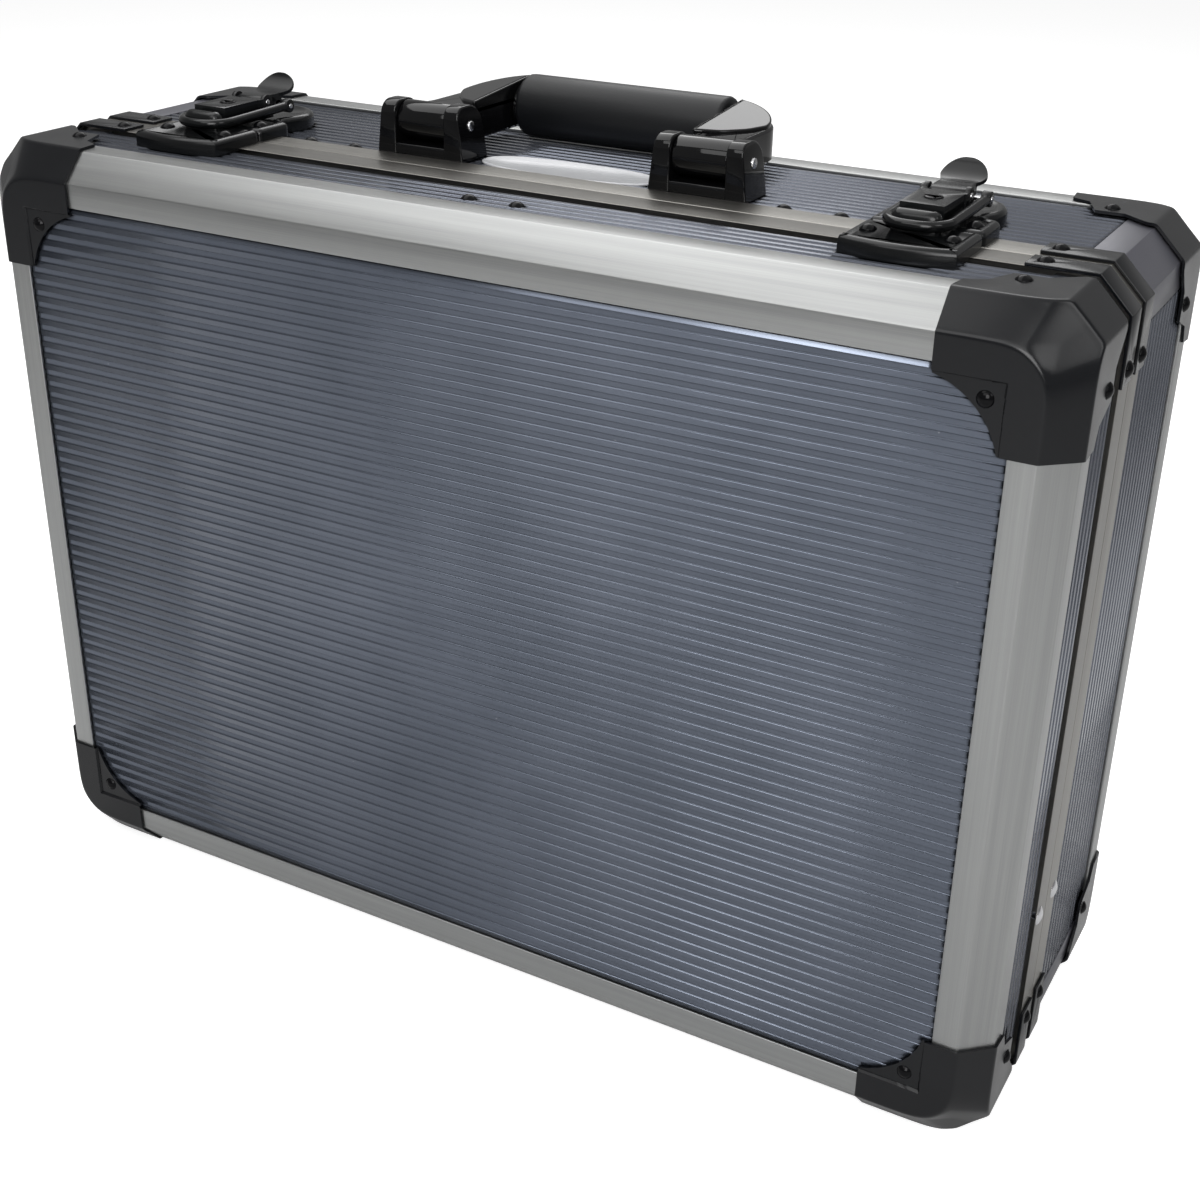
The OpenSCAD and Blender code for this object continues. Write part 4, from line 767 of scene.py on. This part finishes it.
def heads(name, places, ways, outline, material):
    """One piece of many turned heads: the outline (radius, height) is turned about each
    way, which is the direction its head faces, at each place."""
    angle = np.arange(24) * math.pi / 12
    radius, height = np.asarray(outline, float).T
    ways = np.asarray(ways, float)
    first = np.cross(ways, np.roll(ways, 1, axis=1))
    second = np.cross(ways, first)
    ring = (np.cos(angle)[None, :, None] * first[:, None]
            + np.sin(angle)[None, :, None] * second[:, None])
    points = (np.asarray(places, float)[:, None, None] + radius[:, None, None] * ring[:, None]
              + height[:, None, None] * ways[:, None, None])
    return piece_from(name, *merged([closed(head) for head in points])[:2], material, 50)


dome_r = (rivet_r ** 2 + rivet_h ** 2) / (2 * rivet_h)
sweep = np.linspace(0.02, 0.86, 7) * math.asin(rivet_r / dome_r)
dome = [(dome_r * math.sin(a), rivet_h - dome_r * (1 - math.cos(a))) for a in sweep]
rivet_outline = dome + [(2.75, 0.32), (2.95, 0.16), (rivet_r, 0), (rivet_r, -0.4)]

# Guard rivets sit this far from the corner's planes; a clip's row lies back from the split
guard_rivet, flap_rivet, clip_rivet, clip_back = 30, 28, 30.5, 9
top_rivets = {"lid": ((-10.4, 10.4), -32, -15),
              "base": ([handle_x + x for x in (-119, -96.5, 96.5, 119)], 17.2, 8)}
for half, (outer_y, inward, depth) in halves.items():
    places, ways = [], []
    g, clip_y = guard_rivet, depth - clip_back
    for up in (-1, 1):
        for right in (-1, 1):
            spots = [((g, -0.2, g), (0, -1, 0)), ((-guard_t, flap_rivet, g), (-1, 0, 0)),
                     ((-guard_t, clip_y, clip_rivet), (-1, 0, 0))]
            if up > 0:
                spots += [((g, flap_rivet, -guard_t), (0, 0, -1)),
                          ((clip_rivet, clip_y, -guard_t), (0, 0, -1))]
            for (x, y, z), (wx, wy, wz) in spots:
                places.append((right * (half_w - x), outer_y + inward * y,
                               mid_z + up * (half_h - z)))
                ways.append((-right * wx, inward * wy, -up * wz))
    top = mid_z + half_h
    rib_x, rib_y, plate_y = top_rivets[half]
    places += [(x, split_y + rib_y, top - rib_level) for x in rib_x]
    places += [(side * latch_x + x, split_y + plate_y, top + plate_top)
               for side in (-1, 1) for x in (-15, 15)]
    ways += [(0, 0, 1)] * (len(rib_x) + 4)
    node = half + "_rivets"
    stand_for(heads(node + "_heads", places, ways, rivet_outline, rivet_black), node)

# Silver pan heads of the lid stays, nickel plated and mirror bright.
plated, tree, output = new_material("nickel_plated_steel")
where = add(tree, "ShaderNodeTexCoord").outputs["Object"]
haze = add(tree, "ShaderNodeTexNoise", {"Vector": where, "Scale": 500.0, "Detail": 3.0})
gloss = add(tree, "ShaderNodeMapRange", {"Value": haze.outputs["Fac"], "To Min": 0.12,
                                         "To Max": 0.26})
metal = add(tree, "ShaderNodeBsdfPrincipled", {"Base Color": linear("#cfcfd1"), "Metallic": 1.0,
                                               "Roughness": gloss.outputs[0]})
tree.links.new(metal.outputs[0], output.inputs["Surface"])
for node in ("lid_stay_rivets", "base_stay_rivets"):
    softened(node, "pins", 0.15, plated)

# ---------- Latches ----------
# Two draw latches with locks: a hook plate on the lid, a latch plate with a lock housing on
# the base, a lever whose thumb tab curls up, and a wire bail from the lever over the hook.

latch_black = black_steel("coated_latch_steel", "#08090a", "#0e0f10", 0.22, 0.06)
wire_black = black_steel("coated_bail_wire", "#08090a", "#0c0d0e", 0.18, 0.03)


def pressed(outline, profile):
    """Closed points and faces of a raised shape: rings of the outline (x, y), drawn inward
    by each step of the profile (inset, height), from its foot to its flat top."""
    line = np.asarray(outline, float)
    along = np.roll(line, -1, 0) - np.roll(line, 1, 0)
    x, y = line.T
    turn = np.sign(np.sum(x * np.roll(y, -1) - y * np.roll(x, -1)))
    inward = turn * np.c_[-along[:, 1], along[:, 0]] / np.linalg.norm(along, axis=1, keepdims=True)
    steps = np.asarray(profile, float)
    flat = line + steps[:, :1, None] * inward
    return closed(grid(flat[..., 0], flat[..., 1], steps[:, 1:]))


def quarter(count):
    """A number of angles from 0 to 90 degrees."""
    return np.linspace(0, math.pi / 2, count)


def pressed_edge(low, high, radius, border, sink):
    """Profile of a plate's edge: a wall from low, a quarter round of the given radius up to
    high, a flat border, and a top sunk a little below it."""
    a = quarter(7)
    curve = np.c_[radius * (1 - np.cos(a)), high - radius * (1 - np.sin(a))]
    return np.concatenate([[(0, low)], curve, [(radius + border, high),
                                               (radius + border + 0.5, high - sink)]])


def tube(path, radius):
    """Closed points and faces of a round wire along a path (n, 3) in a tilted plane."""
    path = np.asarray(path, float)
    along = np.gradient(path, axis=0)
    along /= np.linalg.norm(along, axis=1, keepdims=True)
    across = np.cross(along, (0, 0, 1))
    across /= np.linalg.norm(across, axis=1, keepdims=True)
    up = np.cross(across, along)
    a = (np.arange(20) * math.pi / 10)[None, :, None]
    return closed(path[:, None] + radius * (np.cos(a) * across[:, None] + np.sin(a) * up[:, None]))


def rod(x0, x1, y, z, radius):
    """Round bar along x with softly rounded ends, as points and faces."""
    soft = min(0.35, radius * 0.3)
    a = quarter(4)
    radii = radius - soft + soft * np.sin(a)
    radii = np.concatenate([radii, radii[::-1]])
    places = np.concatenate([x0 + soft - soft * np.cos(a), (x1 - soft + soft * np.cos(a))[::-1]])
    turn = np.arange(28) * math.pi / 14
    return closed(grid(places[:, None], y + radii[:, None] * np.cos(turn),
                       z + radii[:, None] * np.sin(turn)))


plate_half, hook_len, hook_bow, end_r, end_at = 21, 28, 3.5, 17.5, 35
neck_half, neck_at, shoulder_at, plate_gap, plate_round = 14.5, 22, 19.5, 0.2, 2.6
bow_x = np.linspace(-plate_half + 0.5, plate_half - 0.5, 17)
hook_line = rounded([(plate_half, -plate_gap), (-plate_half, -plate_gap),
                     (-plate_half, -hook_len)]
                    + [(x, -hook_len - hook_bow * (1 - (x / plate_half) ** 2)) for x in bow_x]
                    + [(plate_half, -hook_len)], plate_round, 4)
round_end = [(end_r * math.cos(a), end_at + end_r * math.sin(a))
             for a in np.linspace(-0.6, math.pi + 0.6, 30)]
plate_line = rounded([(-plate_half, plate_gap), (plate_half, plate_gap),
                      (plate_half, shoulder_at), (neck_half, neck_at)] + round_end
                     + [(-neck_half, neck_at), (-plate_half, shoulder_at)], plate_round, 4)
nose_half, nose_tip, nose_root, nose_top = 8.75, -13, -6.2, 12.2
nose_line = rounded([(-nose_half, nose_tip), (nose_half, nose_tip), (nose_half, nose_root),
                     (-nose_half, nose_root)], 5.5, 6)
lever_pin_y, lever_pin_z, bail_pin_y, bail_pin_z = 21.5, 11.5, 31, 9
bail_half, wire_r, bail_run, bend_r, bail_drop = 11.3, 1.9, 46.3, 9.5, 1
eye_r, eye_half = 2.8, 1.7
lever_half, lever_top = 6.5, 13.7
tab_at, tab_t, tab_half, tab_neck, tab_r = 32, 1.4, 8.5, 6, 13.2


def lever_parts():
    """Lever plate between its two barrels, and the thumb tab: a strip on a circular arc of
    radius tab_r whose half width follows a circle, so the tab ends round."""
    plate = [(lever_pin_y, 9.6), (bail_pin_y, 6.9), (tab_at + 1.2, 9),
             (tab_at + 1.4, lever_top - tab_t), (tab_at + 1.4, lever_top),
             (lever_pin_y, lever_top)]
    points, faces, brush = prism(rounded(plate, 0.5), -lever_half, lever_half)
    run = np.concatenate([np.linspace(0, tab_neck, 7),
                          tab_neck + tab_half * np.sin(quarter(14)[1:])])
    widening = smooth_step(run / tab_neck)
    half = np.where(run < tab_neck, lever_half + (tab_half - lever_half) * widening,
                    tab_half * np.sqrt(np.clip(1 - ((run - tab_neck) / (tab_half + 0.1)) ** 2,
                                               0, 1)))
    across = half[:, None] * np.linspace(-1, 1, 15)
    angle = run[:, None] / tab_r
    low_skin, high_skin = [
        grid(across, tab_at + (tab_r - t) * np.sin(angle),
             lever_top - tab_t + tab_r - (tab_r - t) * np.cos(angle)) for t in (0, tab_t)]
    return [(points[:, [2, 0, 1]], faces, brush), skins(high_skin, low_skin),
            rod(-lever_half, lever_half, lever_pin_y, lever_pin_z, 2.2),
            rod(-lever_half, lever_half, bail_pin_y, bail_pin_z, 2.3)]


def bail_parts():
    """Wire bail: a U whose legs fall a little from the bail pin to its round bend, with an
    eye on each leg's end."""
    t = quarter(12)
    bend = np.c_[bail_half - bend_r + bend_r * np.cos(t), -bail_run + bend_r - bend_r * np.sin(t)]
    one_leg = np.concatenate([[(bail_half, 1.5), (bail_half, -6), (bail_half, -20)], bend])
    line = np.concatenate([one_leg, one_leg[::-1] * (-1, 1)])
    path = np.c_[line[:, 0], bail_pin_y + line[:, 1],
                 bail_pin_z + line[:, 1] / bail_run * bail_drop]
    return [tube(path, wire_r)] + [rod(side * bail_half - eye_half, side * bail_half + eye_half,
                                       bail_pin_y, bail_pin_z, eye_r) for side in (-1, 1)]


def on_top(node, kind, parts, x, material):
    """Piece of several parts, moved from a latch's or the handle's own place to x on the
    case's top."""
    points, faces, _ = merged(parts)
    points = points + (x, split_y, mid_z + half_h)
    stand_for(piece_from(f"{node}_{kind}", points, faces, material, 40), node)


plate_edge = pressed_edge(-1, plate_top, 2.3, 1.0, 0.35)
for side, x in (("left", -latch_x), ("right", latch_x)):
    hook = [pressed(hook_line, plate_edge),
            pressed(nose_line, pressed_edge(3, nose_top, 2.9, 0.3, 0))]
    on_top("latch_hook_" + side, "pressing", hook, x, latch_black)
    on_top("latch_plate_" + side, "pressing", [pressed(plate_line, plate_edge)], x, latch_black)
    softened("lock_housing_" + side, "casting", 0.5, latch_black, 3, tight=True)
    on_top("latch_lever_" + side, "pressing", lever_parts(), x, latch_black)
    on_top("latch_bail_" + side, "wire", bail_parts(), x, wire_black)
    softened("key_cylinder_" + side, "core", 0.5, rivet_black, 3)
    softened("bail_pin_" + side, "rod", 0.2, plated)

# ---------- Handle ----------
# Two moulded gloss-black brackets on the base hold a folding handle: two arms on silver
# pins, and a soft black grip on the core between them.

gloss_black, tree, output = new_material("moulded_gloss_plastic")
where = add(tree, "ShaderNodeTexCoord").outputs["Object"]
flow = add(tree, "ShaderNodeTexNoise", {"Vector": where, "Scale": 60.0, "Detail": 3.0})
colour = add(tree, "ShaderNodeMix", {0: flow.outputs["Fac"], 6: linear("#060607"),
                                     7: linear("#0a0a0b")}, data_type="RGBA")
bump = add(tree, "ShaderNodeBump", {"Height": flow.outputs["Fac"], "Strength": 0.02,
                                    "Distance": 0.2 * MM})
plastic = add(tree, "ShaderNodeBsdfPrincipled",
              {"Base Color": colour.outputs[2], "Roughness": 0.06, "Specular IOR Level": 0.32,
               "Normal": bump.outputs[0]})
tree.links.new(plastic.outputs[0], output.inputs["Surface"])

bracket_x, bracket_half, ear_t, ear_lean, ear_h, edge_soft = 62, 20.5, 9, 2.5, 20.5, 0.8
bracket_front, bracket_rear, pocket_floor, back_r, fore_r, lap = 14.3, 33, 4, 9, 5, 1.2


def cheek(sign):
    """One part of a bracket, drawn as its side outline (y, z) and carried across x with
    rounded edges: an ear whose outer side leans in, or with sign 0 the foot between them."""
    front, rear = bracket_front, bracket_rear
    if sign:
        turn = quarter(9)
        back = np.c_[rear - 0.5 - back_r * (1 - np.cos(turn)), ear_h - back_r * (1 - np.sin(turn))]
        fore = np.c_[front + fore_r * (1 - np.sin(turn)), ear_h - fore_r * (1 - np.cos(turn))]
        outline = np.concatenate([[(front, -1), (rear, -1)], back, fore])
        inner, outer = bracket_half - ear_t, bracket_half
    else:
        outline = rounded([(front + 0.2, -1), (rear - 0.2, -1), (rear - 0.2, pocket_floor),
                           (front + 0.2, pocket_floor)], 0.6)
        outer = bracket_half - ear_t + lap
        inner = -outer
    turn = quarter(6)
    ease = np.c_[edge_soft * (1 - np.sin(turn)), edge_soft * (1 - np.cos(turn))]
    profile = np.concatenate([ease * (1, 1) + (0, inner), ease[::-1] * (1, -1) + (0, outer)])
    points, faces, brush = pressed(outline, profile)
    y, z, x = points.T
    if sign:
        x = sign * (inner + (x - inner) * (1 - ear_lean / ear_t * np.clip(z, 0, None) / ear_h))
    return np.c_[x, y, z], faces, brush


handle_pin_y, handle_pin_z, barrel_r, barrel_half = 23, 12.5, 7.5, 11.2
grip_r, grip_half, grip_y, grip_z, collar_r = 12.7, 47, 75, 12.5, 9.5
arm_low, arm_top, cap_rise, cap_back, cap_out = 4, 17.8, 1.7, 5.5, 7.7
heel_x, heel_y, arm_corner = 20, 22, 2.2


def arm_parts(sign):
    """Parts of one arm: a barrel on its pin, a thick curved plate from there to the grip's
    end, a raised cap on it whose top rises to the rear and falls outward, and a collar."""
    inner, outer = bracket_x - barrel_half, bracket_x + barrel_half
    face, wide, leave, rear = grip_half + 2, outer - 2.5, bracket_rear + 1, grip_y + grip_r * 0.45
    swing = quarter(10)[1:]
    heel = np.c_[wide - heel_x * (1 - np.cos(swing)), rear - heel_y * (1 - np.sin(swing))]
    plan = [(inner, handle_pin_y + 1), (outer, handle_pin_y + 1), (outer, leave - 3),
            (wide + 0.3, leave + 3), (wide, rear - heel_y), *heel, (face, rear), (face, leave),
            (inner, leave)]
    body = pressed(rounded(plan, arm_corner, 5),
                   [(1, arm_low), (0, arm_low + 1),
                    *pressed_edge(arm_low + 1, arm_top, 1.4, 0.3, 0)[1:]])
    cap_plan = [(face, leave + 1), (face + 10, leave + 7.5), (wide - 4.7, leave + 16),
                (wide - 0.7, rear - heel_y), *(heel - (0.7, 0.7)), (face, rear - 0.7)]
    foot, level = 15, 20
    points, faces, brush = pressed(rounded(cap_plan, arm_corner, 5),
                                   pressed_edge(12, level, 0.8, 0.3, 0))
    slope_z = (arm_top + cap_rise + np.tan(np.radians(cap_back)) * (points[:, 1] - leave)
               - np.tan(np.radians(cap_out)) * (points[:, 0] - face))
    points[:, 2] = np.where(points[:, 2] > foot, points[:, 2] - level + slope_z, foot)
    parts = [rod(inner, outer, handle_pin_y, handle_pin_z, barrel_r), body,
             (points, faces, brush),
             rod(grip_half + 0.1, grip_half + 8, grip_y, grip_z, collar_r)]
    return [(p * (sign, 1, 1), f, b) for p, f, b in parts]


for side, sign in (("left", -1), ("right", 1)):
    on_top("handle_bracket_" + side, "moulding", [cheek(-1), cheek(1), cheek(0)],
           handle_x + sign * bracket_x, gloss_black)
    on_top("handle_arm_" + side, "moulding", arm_parts(sign), handle_x, gloss_black)
softened("pivot_pins", "rods", 0.3, plated)

# Moulded rubber grip: matt, a little dusty, with a slight sheen along its top.
rubber, tree, output = new_material("moulded_grip_rubber")
where = add(tree, "ShaderNodeTexCoord").outputs["Object"]
skin_grain = add(tree, "ShaderNodeTexNoise", {"Vector": where, "Scale": 1300.0, "Detail": 3.0})
wear = add(tree, "ShaderNodeTexNoise", {"Vector": where, "Scale": 40.0, "Detail": 4.0})
colour = add(tree, "ShaderNodeMix", {0: wear.outputs["Fac"], 6: linear("#0a0b0c"),
                                     7: linear("#101114")}, data_type="RGBA")
bump = add(tree, "ShaderNodeBump", {"Height": skin_grain.outputs["Fac"], "Strength": 0.35,
                                    "Distance": 0.12 * MM})
soft = add(tree, "ShaderNodeBsdfPrincipled",
           {"Base Color": colour.outputs[2], "Roughness": 0.42, "Specular IOR Level": 0.3,
            "Normal": bump.outputs[0]})
tree.links.new(soft.outputs[0], output.inputs["Surface"])

turn = quarter(6)
grip_bore, end_round = 5.1, 2
ends = np.c_[grip_r - end_round + end_round * np.sin(turn),
             grip_half - end_round + end_round * np.cos(turn)]
grip_outline = np.concatenate([[(grip_bore, grip_half)], ends, ends[::-1] * (1, -1),
                               [(grip_bore, -grip_half)]])
grip_at = (handle_x, split_y + grip_y, mid_z + half_h + grip_z)
stand_for(heads("handle_grip_sleeve", [grip_at], [(1, 0, 0)], grip_outline, rubber),
          "handle_grip")

# ---------- Badge ----------
# Bare oval plate on the top wall between the brackets: a pressed aluminium plate with a
# coat of white enamel.

enamel, tree, output = new_material("white_enamel_badge")
where = add(tree, "ShaderNodeTexCoord").outputs["Object"]
haze = add(tree, "ShaderNodeTexNoise", {"Vector": where, "Scale": 120.0, "Detail": 3.0})
colour = add(tree, "ShaderNodeMix", {0: haze.outputs["Fac"], 6: linear("#a9aaad"),
                                     7: linear("#b6b7b9")}, data_type="RGBA")
coat = add(tree, "ShaderNodeBsdfPrincipled", {"Base Color": colour.outputs[2], "Roughness": 0.3,
                                              "Specular IOR Level": 0.3})
tree.links.new(coat.outputs[0], output.inputs["Surface"])
badge_half, badge_deep, badge_y, squareness = 39, 13, 27.5, 0.82
turn = np.arange(72) * math.pi / 36
oval = np.c_[badge_half * np.sign(np.cos(turn)) * np.abs(np.cos(turn)) ** squareness,
             badge_y + badge_deep * np.sign(np.sin(turn)) * np.abs(np.sin(turn)) ** squareness]
plate = pressed(oval, [(0, -1), (0, -0.6), (0.3, -0.4), (1.2, -0.4), (1.5, -0.65)])
on_top("badge_plate", "oval", [plate], handle_x, enamel)

# ---------- Hinges ----------
# Two zinc-plated steel hinges with rolled knuckles, on plated pins. Their leaves are let
# into the rims' undersides.

hinge_steel = black_steel("zinc_plated_hinge_steel", "#3b3c40", "#4a4b50", 0.4, 0.1)
for half in halves:
    softened(half + "_hinge_leaves", "steel", 0.2, hinge_steel)
softened("hinge_pins", "rods", 0.2, plated)

# ---------- Lid stays ----------
# Two pairs of flat links of plated steel inside the case, riveted to its halves and to
# each other. They fold as it closes.

for half in halves:
    for side in ("left", "right"):
        softened(f"stay_link_{half}_{side}", "strip", 0.25, plated)
